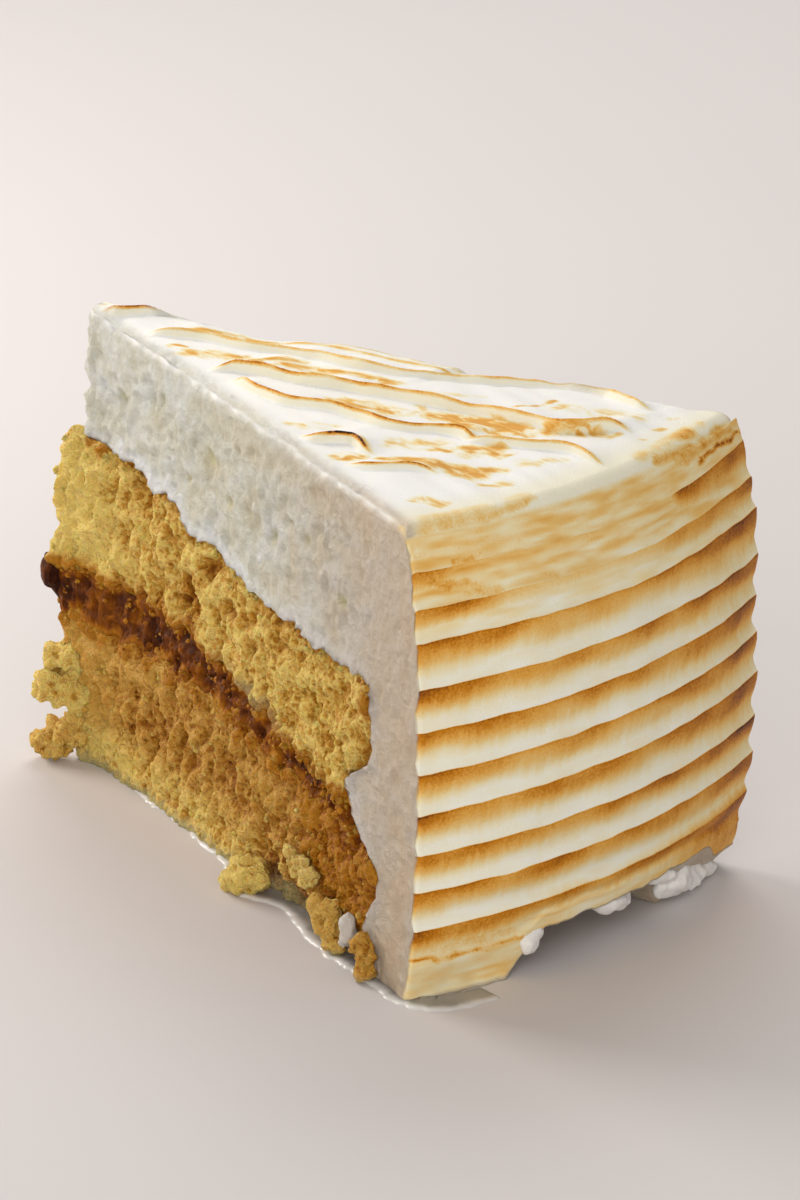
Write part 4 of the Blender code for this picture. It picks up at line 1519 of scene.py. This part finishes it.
    def foot(self, depth: Array, degrees: Array) -> Array:
        """Height of the wall's underside at a depth and an angle."""
        rough = 0.55 * self.grain.rough(degrees, depth * 7.0, 0.0 * depth + 2.0, 1.7)
        lines = (self.foot_inside, self.foot_middle, self.foot_outside)
        inside, middle, outside = (soft_along(line, degrees, 0.5) for line in lines)
        share = limit(depth / 0.33)
        outer = limit((depth - 0.7) / 0.3)
        height = inside * (1.0 - share) + middle * share
        height = height * (1.0 - outer) + outside * outer
        return np.maximum(height + rough * smooth_step(0.3, 2.0, height), 0.02)

    def _stations(self, i: Array, j: Array, k: Array) -> Stations:
        """Stations from their row, column and depth."""
        return Stations(
            row=i,
            across=self.across[i, j],
            depth=self.depths[k],
            reach=self.outer_reach[i],
            level=self.level[i],
            share=self.foot_share[i],
            at_side=(j == 0) | (j == self.columns - 1) | (i == 0),
            on_top=i < self.count_over,
            on_skin=k == self.depth_count - 1,
            on_core=k == 0,
            on_foot=i == self.rows - 1,
            arc_radius=self.wall_radius,
        )

    def _inside(self, at: Stations) -> list[Array]:
        """Places against the core in mm: along its top, then down its outer edge."""
        x, y = FORM.plan(self.inner_reach[at.row], at.across)
        top_z = FORM.core_top(x, y, at.near) + self.core_gap
        low = self.foot(np.zeros_like(at.depth), at.degrees)
        level = self.inner_level[at.row]
        wall_z = np.where(at.share < 1.0, low + (level - low) * at.share, level)
        wall_x, wall_y = FORM.plan(FORM.core_edge(wall_z, y, at.near) + self.core_gap, at.across)
        return [np.where(at.on_top, a, b) for a, b in zip((x, y, top_z), (wall_x, wall_y, wall_z))]

    def _outside(self, at: Stations) -> tuple[list[Array], Marks]:
        """Places on the skin: over the top, round the rim and down the combed wall.

        Args:
            at: The stations.

        Returns:
            Places in mm, and what the browning needs to know of them.
        """
        turn, reach = self.turn[at.row], at.reach
        x, y = FORM.plan(reach + self.rim_radius * np.sin(turn), at.across)
        relief, dark, steep = self.top_relief(x, y)
        to_back = FORM.half_width(reach) * (1.0 - at.across)
        relief = relief + along(self.back_edge, x) * soft_peak(to_back, 10.0) + 0.4 * soft_peak(reach, 9.0)
        rim = smooth_step(self.rim_start - 7.0, self.rim_start + 1.0, reach)
        z = self.top_level + relief * (1.0 - 0.6 * rim) - 0.3 * rim - self.rim_radius * (1.0 - np.cos(turn))

        arc, degrees, level = at.arc, at.degrees, at.level
        climb = along(self.climb, level) * (degrees + 20.0) / 40.0
        climb = climb - along(self.sag, level) * soft_peak(degrees - 2.0, 9.0)
        wobble = 0.2 * self.grain.smooth(arc, level * 0.6, 0.0 * arc + 4.0, 4.5)
        height = level + climb + wobble * smooth_step(self.wall_top, self.wall_top - 2.0, level)
        low = self.foot(np.ones_like(at.depth), degrees)
        height = np.where(at.share < 1.0, low + (height - low) * at.share, height)
        stand, below = self.comb(self.comb_level[at.row])
        stand = stand * (0.95 + 0.35 * self.grain.smooth(arc, level, 0.0 * arc, 9.0)) * at.share
        radius = soft_along(self.wall_profile, height, 1.0) + stand
        radius = radius + 0.28 * self.grain.smooth(arc, height, 0.0 * arc + 8.0, 13.0)
        rolled = smooth_step(-8.5, -10.5, degrees) * np.exp(-height / 1.6)
        radius = radius + (1.5 + 0.5 * self.grain.smooth(arc, 0.0 * arc, height, 2.2)) * rolled
        wall_x, wall_y = FORM.plan(radius, at.across)
        spots = [np.where(at.on_top, a, b) for a, b in zip((x, y, z), (wall_x, wall_y, height))]
        return spots, {"dark": dark, "steep": steep, "rim": rim, "below": below, "height": height}

    def _round_edge(
        self, at: Stations, spots: list[Array], to_skin: Array, inward: list[Array]
    ) -> list[Array]:
        """Round the edge between the skin and the cut faces.

        Args:
            at: The stations.
            spots: Their places in mm.
            to_skin: Their distance from the skin in mm.
            inward: Direction from the skin to the core.

        Returns:
            New places in mm.
        """
        x, y, z = spots
        radius = 0.8 + 0.35 * self.grain.smooth(x, y, z, 6.0)
        radius = radius + (1.5 + 0.8 * self.grain.smooth(x, y, z, 9.0)) * at.on_top
        to_edge = np.where(at.on_skin, at.edge, to_skin)
        angle = limit(1.0 - to_edge / radius) * math.pi / 4.0
        along_it = np.where(to_edge < radius, radius * (1.0 - np.sin(angle)) - to_edge, 0.0)
        away = radius * (1.0 - np.cos(angle))
        free = ~at.on_core & ~at.on_foot
        inset = np.where(at.on_skin, along_it, away) * free
        drop = np.where(at.on_skin, away, along_it) * free
        x = x - at.out[0] * inset + inward[0] * drop
        y = y - at.out[1] * inset + inward[1] * drop
        return [x, y, z + inward[2] * drop]

    def _tear(
        self, at: Stations, spots: list[Array], from_core: Array, to_skin: Array
    ) -> tuple[list[Array], Array]:
        """Tear the foam on the cut faces.

        Args:
            at: The stations.
            spots: Their places in mm.
            from_core: Their distance from the core in mm.
            to_skin: Their distance from the skin in mm.

        Returns:
            New places in mm, and how deep in a pit each lies.
        """
        x, y, z = spots
        ridge = 1.0 - 2.0 * np.abs(self.grain.smooth(x, y, z, 3.3))
        torn = 0.7 * self.grain.smooth(x, y, z, 8.0) + 0.45 * ridge + 0.5 * self.grain.rough(x, y, z, 2.0, 2)
        calm = 1.0 - 0.55 * smooth_step(88.0, 104.0, np.hypot(x, y))
        calm = calm * (1.0 - 0.75 * soft_peak(to_skin, 5.0) * at.on_top)
        pits = np.zeros_like(x)
        for place, level, width in self.foam_pits:
            apart = np.hypot((x - place) / math.cos(FORM.half_angle), z - level)
            pits = np.maximum(pits, 1.2 * soft_peak(apart, width) * (y < 0.0))
        lip = 0.35 * soft_peak(from_core, 1.0)
        near = np.where(at.at_side, 1.0, at.near)
        push = (torn * calm - pits + lip - 0.6 * soft_peak(at.reach, 7.0) * at.on_top) * near
        x = x + at.out[0] * push
        y = y + at.out[1] * push
        lift = 0.2 * self.grain.smooth(x, y, z + 12.0, 2.4) * near * ~at.on_foot * ~at.on_core
        return [x, y, np.maximum(z + lift, 0.02)], pits

    def _foam_marks(
        self, at: Stations, spots: list[Array], from_core: Array, to_skin: Array
    ) -> Marks:
        """Where the foam of the cut shows, and how bright it is, painted shading included.

        Args:
            at: The stations.
            spots: Their places in mm.
            from_core: Their distance from the core in mm.
            to_skin: Their distance from the skin in mm.

        Returns:
            The marks "cut" and "froth".
        """
        x, y, z = spots
        blend = to_skin + 0.8 * self.grain.smooth(x, y, z, 2.6)
        cut = np.where(at.on_top, smooth_step(0.0, 2.1, blend), smooth_step(0.1, 0.6, to_skin))
        cut = np.where(at.on_skin, 0.75 * soft_peak(at.edge, 1.5) * at.on_top, cut)
        froth_and_painted_shading = 0.4 * self.grain.smooth(x, y, z + 44.0, 7.0) + 0.2 * self.grain.smooth(x, y, z, 3.0)
        froth_and_painted_shading = froth_and_painted_shading + 0.42 * soft_peak(from_core - 0.6, 1.8)
        # Painted shade: a darker band a few mm under the top edge, where the edge rolls away.
        froth_and_painted_shading = froth_and_painted_shading - 0.32 * soft_peak(to_skin - 5.0, 2.6) * smooth_step(35.0, 55.0, x)
        # Painted light towards the tip and painted shade towards the wall.
        froth_and_painted_shading = froth_and_painted_shading + 0.12 * smooth_step(40.0, 10.0, x) - 0.12 * smooth_step(92.0, 104.0, np.hypot(x, y))
        return {"cut": np.where(at.on_foot, 1.0, cut), "froth_and_painted_shading": froth_and_painted_shading}

    def _skin_marks(self, at: Stations, spots: list[Array], seen: Marks) -> Marks:
        """What the torch did to the skin, and where shade is painted on it.

        Args:
            at: The stations.
            spots: Their places in mm.
            seen: What the shaping of the skin found.

        Returns:
            The marks "toast", "line", "comb", "char" and "cream_and_painted_shade".
        """
        x, y, z = spots
        arc, degrees, level, height = at.arc, at.degrees, at.level, seen["height"]
        on_flat = at.row < self.count_top
        shake_x = 0.9 * self.grain.smooth(x, y, z + 70.0, 3.0)
        shake_y = 0.9 * self.grain.smooth(x + 40.0, y, z + 70.0, 3.0)
        toast = strongest(TOP_MARKS, x + shake_x, y + shake_y) * on_flat
        smoke = strongest(WALL_MARKS, arc + 2.6 * shake_x, z + 0.8 * shake_y)
        smoke = smoke * (0.62 + 0.2 * self.grain.rough(arc, height, 0.0 * arc + 5.0, 1.6, 2))
        line = np.maximum(seen["dark"], smoke * smooth_step(105.0, 107.2, at.reach))

        # The flame caught each ridge from one end to the other, the upper two unevenly.
        flame = along(self.flame_usual, degrees)
        flame = np.where(level > self.flame_ninth_from, along(self.flame_ninth, degrees), flame)
        flame = np.where(level > self.flame_tenth_from, along(self.flame_tenth, degrees), flame)
        flame = flame * (1.0 + 0.3 * self.grain.smooth(arc, height, 0.0 * arc + 6.0, (9.0, 4.0, 5.0)))
        flame = np.where(at.on_top | (level > self.crests[-1] + 0.05), 0.0, flame)
        wider = 1.0 - 0.26 * smooth_step(3.0, 15.0, degrees)
        wider = wider - 0.4 * smooth_step(-12.0, -5.0, degrees) * (level < self.crests[0] + 0.2)
        weak = 1.0 + 1.1 * np.clip(0.85 - flame, 0.0, 0.6)
        wiped = self.grain.rough(arc / 9.0, height / 1.5, 0.0 * arc + 2.0, 1.0, 3)
        cream = along(self.cream, height) * (1.0 + 0.8 * wiped)
        return {
            "toast": toast,
            "line": np.where(on_flat, line, smoke),
            "comb": np.where(at.on_top, 1.0, limit(seen["below"] * wider * weak)),
            "char": flame,
            # On top: painted shade in cream on the steep sides of the waves, and cream along the rim.
            "cream_and_painted_shade": np.where(at.on_top, np.maximum(seen["rim"] * 0.5, 0.45 * seen["steep"]), cream),
        }

    def shape(self, i: Array, j: Array, k: Array) -> tuple[Array, Marks]:
        """Places and marks of stations, from their row, column and depth."""
        at = self._stations(i, j, k)
        inner = self._inside(at)
        outer, seen = self._outside(at)
        spots = [a + (b - a) * at.depth for a, b in zip(inner, outer)]
        spots[2] = np.where(at.on_foot, self.foot(at.depth, at.degrees), spots[2])
        thick = np.sqrt(sum((b - a) ** 2 for a, b in zip(inner, outer)))
        inward = [(a - b) / np.maximum(thick, 0.1) for a, b in zip(inner, outer)]
        from_core, to_skin = at.depth * thick, (1.0 - at.depth) * thick
        spots = self._round_edge(at, spots, to_skin, inward)
        spots, pits = self._tear(at, spots, from_core, to_skin)
        marks = self._skin_marks(at, spots, seen) | self._foam_marks(at, spots, from_core, to_skin)
        # The pits are painted darker and yellower, partly as shade.
        marks["pit"] = limit(pits) * 0.8
        return FORM.to_frame(*spots), marks

    def build(self, finish: Material) -> Piece:
        """Make the coat and dress it.

        Args:
            finish: Material to wear.

        Returns:
            The finished piece.
        """
        counts = (self.rows, self.columns, self.depth_count)
        piece = bend_block("meringue_coat", counts, self.shape, hidden=("k0",))
        finish_piece(piece, finish, "meringue")
        return piece


# ---- loose forms


@dataclass(frozen=True)
class Chunk:
    """A torn lump that hangs on the slice, grown from a few balls.

    Attributes:
        name: Name of the piece.
        roughness: Depth of its relief in mm.
        marks: Numbers for the finish, the same all over it.
        balls: Centre and radii of each ball, in mm from the tip.
    """

    name: str
    roughness: float
    marks: dict[str, float]
    balls: tuple

    def build(self, grain: Grain, voxel: float = 0.42) -> Piece:
        """Fuse the balls and tear their surface.

        Args:
            grain: Noise for the relief.
            voxel: Size in mm of the facets of the fused form.

        Returns:
            The closed lump.
        """
        made = []
        for x, y, z, rx, ry, rz in self.balls:
            bpy.ops.mesh.primitive_ico_sphere_add(subdivisions=4, radius=1.0)
            ball = bpy.context.object
            unit = get_points(ball)
            rough = 1.0 + 0.25 * grain.smooth(*(unit + x).T, 0.8)
            spots = unit * (rx, ry, rz) * rough[:, None] + (x, y, z)
            set_points(ball, FORM.to_frame(*spots.T), {})
            made.append(ball)
        pick_only(made)
        bpy.ops.object.join()
        lump = bpy.context.object
        lump.name = lump.data.name = self.name
        apply_modifier(lump, "REMESH", mode="VOXEL", voxel_size=voxel * MM)
        spots = get_points(lump)
        normals = np.empty(len(spots) * 3, np.float32)
        lump.data.vertices.foreach_get("normal", normals)
        x, y, z = (spots / MM).T
        apart, owner = grain.cells(x + 200.0, y, z, 2.3)
        small, _ = grain.cells(x, y + 70.0, z, 1.2)
        relief = 0.7 * (0.5 - apart) + 0.5 * (0.5 - small) + 0.9 * grain.rough(x, y, z, 2.2, 3)
        spots = spots + normals.reshape(-1, 3) * (self.roughness * relief)[:, None] * MM
        spots[:, 2] = np.maximum(spots[:, 2], 0.03 * MM)
        marks = {
            # Paler where raised and darker in the hollows of the relief, which is painted shade.
            "lump": limit(0.76 + 0.45 * relief),
            "tint": owner,
            "stain": 0.0,
            "milk": 0.7 * smooth_step(1.8, 0.3, spots[:, 2] / MM),
            "cut": 1.0,
        }
        set_points(lump, spots, marks | self.marks)
        close_and_smooth(lump)
        return lump


SPONGE_CHUNKS = (
    Chunk("tip_block_pale", 1.0, {"stain": 0.0, "milk": 0.0}, (
        (-2.9, -3.9, 17.8, 3.0, 2.8, 2.5),
        (-4.4, -5.2, 17.2, 2.3, 2.2, 2.5),
        (-1.0, -2.2, 17.4, 2.8, 2.6, 2.6),
    )),
    Chunk("tip_chunk_pale", 1.3, {"stain": 0.1, "milk": 0.0}, (
        (-3.4, -4.9, 12.7, 3.4, 3.2, 3.3),
        (-5.2, -6.6, 12.4, 1.9, 1.9, 2.6),
        (-1.0, -3.0, 12.0, 3.6, 3.4, 4.2),
    )),
    Chunk("tip_chunk_orange", 1.3, {"stain": 0.32, "milk": 0.0}, (
        (-3.0, -5.4, 4.0, 3.2, 2.9, 2.9),
        (-4.9, -7.5, 2.6, 2.0, 2.0, 2.4),
        (-0.6, -3.0, 6.0, 3.0, 2.8, 2.8),
    )),
    Chunk("foot_block", 0.9, {"stain": 0.0, "milk": 0.0}, (
        (56.8, -25.0, 3.2, 2.7, 2.4, 2.8),
        (55.6, -25.2, 2.2, 2.4, 2.4, 2.2),
        (58.4, -24.2, 3.6, 2.8, 2.6, 2.4),
        (56.8, -23.8, 1.9, 3.2, 2.8, 1.9),
    )),
    Chunk("foot_lump_orange", 1.2, {"stain": 0.38}, (
        (81.5, -31.6, 5.0, 2.6, 1.8, 3.4),
        (83.5, -32.2, 2.6, 2.0, 1.5, 2.3),
        (79.5, -31.2, 6.6, 1.8, 1.5, 1.8),
    )),
    Chunk("foot_lump_brown", 1.2, {"stain": 0.55}, (
        (93.2, -36.0, 4.8, 2.0, 1.5, 3.0),
        (94.0, -36.4, 2.4, 1.7, 1.3, 2.0),
    )),
    Chunk("foot_lump_pale", 1.1, {"stain": 0.0, "milk": 0.2}, (
        (72.6, -28.7, 10.6, 2.6, 1.2, 2.0),
        (75.4, -29.5, 9.4, 2.0, 1.1, 1.5),
        (70.4, -27.9, 11.4, 1.6, 1.0, 1.4),
    )),
)

CARAMEL_BITS = (
    Chunk("caramel_blob", 0.4, {"lump": 0.0}, (
        (-5.0, -4.7, 32.2, 2.3, 2.2, 3.1),
        (-3.6, -3.8, 30.0, 2.1, 1.9, 2.6),
    )),
)

MERINGUE_BITS = (
    Chunk("foam_bit_low", 0.6, {"cut": 0.75, "froth_and_painted_shading": 0.2}, (
        (87.8, -33.7, 6.2, 1.4, 1.1, 2.7),
        (87.0, -33.4, 3.8, 1.1, 0.9, 1.5),
    )),
    Chunk("wall_drip_left", 0.3, {"cut": 0.2, "froth_and_painted_shading": 0.5}, (
        (110.0, -16.6, 5.4, 1.5, 1.8, 1.8),
        (109.6, -15.0, 6.6, 1.5, 1.6, 1.4),
    )),
    Chunk("wall_drip_middle", 0.3, {"cut": 0.2, "froth_and_painted_shading": 0.5}, (
        (109.8, 2.0, 6.4, 1.9, 3.4, 1.7),
        (109.4, 4.4, 5.8, 1.6, 2.6, 1.5),
        (109.6, 0.2, 6.8, 1.6, 2.2, 1.3),
    )),
    Chunk("wall_drip_right", 0.3, {"cut": 0.2, "froth_and_painted_shading": 0.5}, (
        (107.4, 19.5, 4.0, 2.6, 4.2, 3.0),
        (105.6, 24.8, 2.8, 2.6, 4.0, 2.5),
        (103.8, 29.8, 1.8, 2.4, 3.6, 1.8),
        (108.6, 15.8, 6.4, 1.8, 3.0, 1.6),
    )),
)


@dataclass
class CrumbScatter:
    """Small crumbs that cling to the cut faces and to the tip. Sizes are in mm."""

    seed: int = 71
    kinds: int = 6
    count: int = 2600
    nose_share: float = 0.05
    layer_shares: tuple[float, float, float] = (0.38, 0.34, 0.28)
    radius: tuple[float, float] = (0.14, 0.6)

    def _kinds(self, grain: Grain) -> list[tuple[Array, Array]]:
        """Model each kind of crumb once, as its vertices and triangles."""
        made = []
        for kind in range(self.kinds):
            bpy.ops.mesh.primitive_ico_sphere_add(subdivisions=2, radius=1.0)
            crumb = bpy.context.object
            spots = get_points(crumb)
            rough = 1.0 + 0.5 * grain.smooth(*(spots + 9.0 * kind).T, 0.9)
            set_points(crumb, spots * rough[:, None], {})
            apply_modifier(crumb, "DECIMATE", ratio=0.62)
            faces = np.array([list(face.vertices) for face in crumb.data.polygons])
            made.append((get_points(crumb), faces))
            bpy.data.objects.remove(crumb, do_unlink=True)
        return made

    def _places(
        self, draw: np.random.Generator, layers: list[CoreLayer]
    ) -> tuple[Array, Marks, Array]:
        """Draw where the crumbs cling, denser by the caramel and under the coat.

        Args:
            draw: Source of the draws.
            layers: Layers of the core, from the lowest up.

        Returns:
            Places in mm, the marks of the crumb beneath, and the layer of each.
        """
        reach = FORM.core_reach * draw.random(self.count) ** 0.8
        side = np.where(draw.random(self.count) < 0.5, -1.0, 1.0)
        at_nose = draw.random(self.count) < self.nose_share
        side = np.where(at_nose, draw.uniform(-1.0, 1.0, self.count), side)
        reach = np.where(at_nose, 0.0, reach)
        pick = draw.choice(len(layers), self.count, p=self.layer_shares)
        share = draw.random(self.count)
        share = np.where(pick == 1, np.where(draw.random(self.count) < 0.45, 0.8 + 0.2 * share, share), share)
        share = np.where(pick == 0, share**0.8, share)
        share = np.where((pick == 2) & (draw.random(self.count) < 0.5), 0.93 + 0.06 * share, share)
        share = np.clip(share, 0.02, 0.97)
        places = np.zeros((self.count, 3))
        marks = {name: np.zeros(self.count) for name in ("lump", "stain", "milk", "tint")}
        for number, layer in enumerate(layers):
            mine = pick == number
            spots, read = layer.surface(reach[mine], side[mine], share[mine])
            places[mine] = spots / MM
            for name in marks:
                marks[name][mine] = read[name]
        return places, marks, pick

    def build(self, layers: list[CoreLayer], finish: Material) -> Piece:
        """Scatter the crumbs and dress them.

        Args:
            layers: Layers of the core, from the lowest up.
            finish: Material to wear.

        Returns:
            The crumbs as one piece.
        """
        draw = np.random.default_rng(self.seed)
        kinds = self._kinds(Grain(self.seed))
        places, marks, pick = self._places(draw, layers)
        low, high = self.radius
        size = low + (high - low) * draw.random(self.count) ** 2.4
        stain = marks["stain"] * 0.8 + 0.25 * (pick == 1) + draw.normal(0.0, 0.12, self.count)
        marks["stain"] = limit(stain)
        marks["lump"] = limit(marks["lump"] + 0.05 + draw.normal(0.0, 0.15, self.count))
        marks["milk"] *= 0.5
        points, faces, owners, used = [], [], [], 0
        for number in range(self.count):
            unit, triangles = kinds[number % self.kinds]
            turn = np.array(Matrix.Rotation(draw.uniform(0.0, 6.28), 3, Vector(draw.normal(size=3))))
            scale = size[number] * draw.uniform(0.75, 1.25, 3)
            spots = (unit @ turn.T) * scale + places[number]
            spots[:, 2] = np.maximum(spots[:, 2], 0.03)
            points.append(spots)
            faces.append(triangles + used)
            owners.append(np.full(len(unit), number))
            used += len(unit)
        bpy.ops.mesh.primitive_plane_add(size=1.0)
        piece = bpy.context.object
        mesh = bpy.data.meshes.new("clinging_crumbs")
        spots, owner = np.concatenate(points) * MM, np.concatenate(owners)
        mesh.from_pydata(spots, [], np.concatenate(faces))
        piece.data = mesh
        piece.name = "clinging_crumbs"
        set_points(piece, spots, {name: values[owner] for name, values in marks.items()})
        pick_only([piece])
        bpy.ops.object.shade_smooth()
        finish_piece(piece, finish, "sponge_lower")
        return piece


@dataclass
class MilkPool:
    """Film of milk that rims the foot of the slice. Sizes are in mm."""

    outline: tuple = (
        (14.0, -6.6), (22.0, -9.2), (30.0, -11.6), (38.0, -14.9), (45.0, -17.8), (51.0, -21.5),
        (53.5, -26.2), (58.5, -26.6), (62.0, -24.6), (68.0, -26.2), (76.0, -30.6), (82.5, -33.8),
        (92.0, -35.8), (100.0, -38.6), (105.5, -40.2), (110.0, -37.4), (112.6, -32.0),
        (113.4, -26.0),
    )
    thickness: float = 0.4
    width: float = 5.0
    end_fade: float = 6.0
    stations: int = 260
    lanes: int = 14
    grain: Grain = field(default_factory=lambda: Grain(83))

    def _rim(self, spot: Array, length: Array) -> list[Array]:
        """X and Y of the rim at distances along it, with its corners softened."""
        table = np.array(self.outline)
        return [
            sum(np.interp(spot + step, length, table[:, axis]) for step in (-2.0, -1.0, 0.0, 1.0, 2.0)) / 5.0
            for axis in range(2)
        ]

    def shape(self, i: Array, j: Array, k: Array) -> tuple[Array, Marks]:
        """Places of stations, along the rim, across it, and from its underside up."""
        table = np.array(self.outline)
        gaps = np.hypot(np.diff(table[:, 0]), np.diff(table[:, 1]))
        length = np.concatenate([[0.0], np.cumsum(gaps)])
        spot = length[-1] * i / (self.stations - 1.0)
        x, y = self._rim(spot, length)
        ahead_x, ahead_y = self._rim(spot + 0.4, length)
        dx, dy = ahead_x - x, ahead_y - y
        size = np.maximum(np.hypot(dx, dy), 1e-6)
        zero = 0.0 * spot
        ragged = 0.7 * self.grain.rough(x, y, zero, 3.4)
        lane = j / (self.lanes - 1.0)
        ends = smooth_step(0.0, self.end_fade, spot)
        ends = ends * (1.0 - smooth_step(length[-1] - self.end_fade, length[-1], spot))
        back = lane * self.width + (1.0 - lane) * ragged
        rounded = np.sqrt(limit(1.0 - (1.0 - limit(lane * 3.4)) ** 2))
        uneven = 1.0 + 0.3 * self.grain.smooth(x, y + 9.0, zero, 2.6)
        high = 0.05 + self.thickness * rounded * (0.25 + 0.75 * ends) * uneven
        bead = 0.9 + 0.5 * self.grain.smooth(x, y, zero, 3.0)
        white = soft_peak(np.maximum(lane * self.width - 0.4, 0.0), bead)
        white = np.maximum(white, 0.7 * smooth_step(24.0, 12.0, x))
        places = FORM.to_frame(x - dy / size * back, y + dx / size * back, np.where(k == 0, 0.01, high))
        return places, {"rim": limit(white)}

    def build(self, finish: Material) -> Piece:
        """Make the film and dress it."""
        piece = bend_block("milk_rim", (self.stations, self.lanes, 2), self.shape)
        finish_piece(piece, finish, "sponge_lower")
        return piece


# ---- studio


@dataclass(frozen=True)
class SoftLight:
    """A soft square light that faces the slice.

    Attributes:
        name: Name of the light.
        place: Where it hangs, in metres.
        size: Width in metres.
        power: Power in watts.
        tone: Its colour.
    """

    name: str
    place: tuple[float, float, float]
    size: float
    power: float
    tone: str

    def hang(self, faces: Vector) -> None:
        """Add the light, turned to the place in metres that it faces."""
        data = bpy.data.lights.new(self.name, "AREA")
        data.size, data.energy = self.size, self.power
        data.color = colour(self.tone)[:3]
        lamp = bpy.data.objects.new(self.name, data)
        lamp.location = self.place
        lamp.rotation_euler = (faces - Vector(self.place)).to_track_quat("-Z", "Y").to_euler()
        bpy.context.scene.collection.objects.link(lamp)


@dataclass
class Studio:
    """Pale floor, soft lights and the camera.

    Angles are in degrees, distance and aim in mm from the tip, the lens in mm.
    """

    azimuth: float = 42.71
    elevation: float = 21.21
    roll: float = 0.724
    distance: float = 1387.6
    aim: tuple[float, float, float] = (63.61, 3.42, 43.49)
    lens: float = 265.3
    floor_size: float = 6.0
    floor_tones: tuple[str, str] = ("#D6D1D0", "#DCD7D6")
    cloud_width: float = 200.0
    sky: str = "#F4F1EE"
    sky_strength: float = 0.4
    lights: tuple = (
        SoftLight("key_behind", (-0.35, 0.45, 0.70), 0.5, 2.9, "#FFFDFA"),
        SoftLight("fill_left", (-0.49, -0.09, 0.24), 0.3, 2.15, "#FFF8F0"),
        SoftLight("fill_front", (0.55, -0.75, 0.38), 0.7, 4.3, "#FFFFFF"),
    )

    def add_floor(self) -> None:
        """Lay a wide pale floor under the slice."""
        bpy.ops.mesh.primitive_plane_add(size=self.floor_size)
        floor = bpy.context.object
        floor.name = "studio_floor"
        blank = new_material("floor_pale")
        inputs = {"Vector": blank.mm, "Scale": 1.0 / self.cloud_width, "Detail": 2.0}
        cloud = add_node(blank.tree, "TexNoise", inputs=inputs)
        dark, light = (colour(tone) for tone in self.floor_tones)
        base = add_node(
            blank.tree, "Mix", {"data_type": "RGBA"}, {"Factor": cloud, 6: dark, 7: light}, output=2
        )
        fill_inputs(blank.tree, blank.shader, {"Base Color": base, "Roughness": 0.7})
        floor.data.materials.append(blank.material)

    def add_camera(self) -> None:
        """Set up the camera."""
        around, rise, roll = (math.radians(value) for value in (self.azimuth, self.elevation, self.roll))
        back = Vector((math.sin(around) * math.cos(rise), -math.cos(around) * math.cos(rise), math.sin(rise)))
        right = Vector((math.cos(around), math.sin(around), 0.0))
        up = back.cross(right)
        side = right * math.cos(roll) + up * math.sin(roll)
        top = up * math.cos(roll) - right * math.sin(roll)
        data = bpy.data.cameras.new("camera")
        data.lens, data.sensor_width, data.clip_end = self.lens, 36.0, 10.0
        camera = bpy.data.objects.new("camera", data)
        aim = Vector((self.aim[0] + FORM.tip_x, self.aim[1], self.aim[2])) * MM
        turn = Matrix((side, top, back)).transposed().to_4x4()
        camera.matrix_world = Matrix.Translation(aim + back * self.distance * MM) @ turn
        bpy.context.scene.collection.objects.link(camera)
        bpy.context.scene.camera = camera

    def build(self) -> None:
        """Set up floor, lights, world and camera."""
        self.add_floor()
        middle = Vector((0.0, 0.0, 0.04))
        for light in self.lights:
            light.hang(middle)
        world = bpy.data.worlds.new("studio")
        world.use_nodes = True
        inputs = {"Color": colour(self.sky), "Strength": self.sky_strength}
        fill_inputs(world.node_tree, world.node_tree.nodes["Background"], inputs)
        bpy.context.scene.world = world
        # Colours are shown as they are, with no film curve over them.
        bpy.context.scene.view_settings.view_transform = "Standard"
        self.add_camera()


def main() -> None:
    """Build the slice piece by piece, then the studio."""
    meringue = TorchedMeringue().make()
    sponge = SoakedSponge().make()
    caramel = CaramelCrumb().make()
    milk = MilkGloss().make()

    MeringueCoat().build(meringue)

    lower = CoreLayer("sponge_lower", Slot.SPONGE, FORM.underside, FORM.caramel_bottom, levels=72)
    middle = CoreLayer("caramel", Slot.CARAMEL, FORM.caramel_bottom, FORM.caramel_top, levels=24)
    upper = CoreLayer("sponge_upper", Slot.SPONGE, FORM.caramel_top, FORM.core_top, levels=68)
    lower.build(sponge)
    middle.build(caramel)
    upper.build(sponge)

    grain = Grain(61)
    for chunk in SPONGE_CHUNKS:
        finish_piece(chunk.build(grain), sponge, "sponge_lower")
    for bit in CARAMEL_BITS:
        finish_piece(bit.build(grain), caramel, "caramel")
    for bit in MERINGUE_BITS:
        finish_piece(bit.build(grain), meringue, "meringue")
    CrumbScatter().build([lower, middle, upper], sponge)
    MilkPool().build(milk)
    Studio().build()


if __name__ == "__main__":
    main()
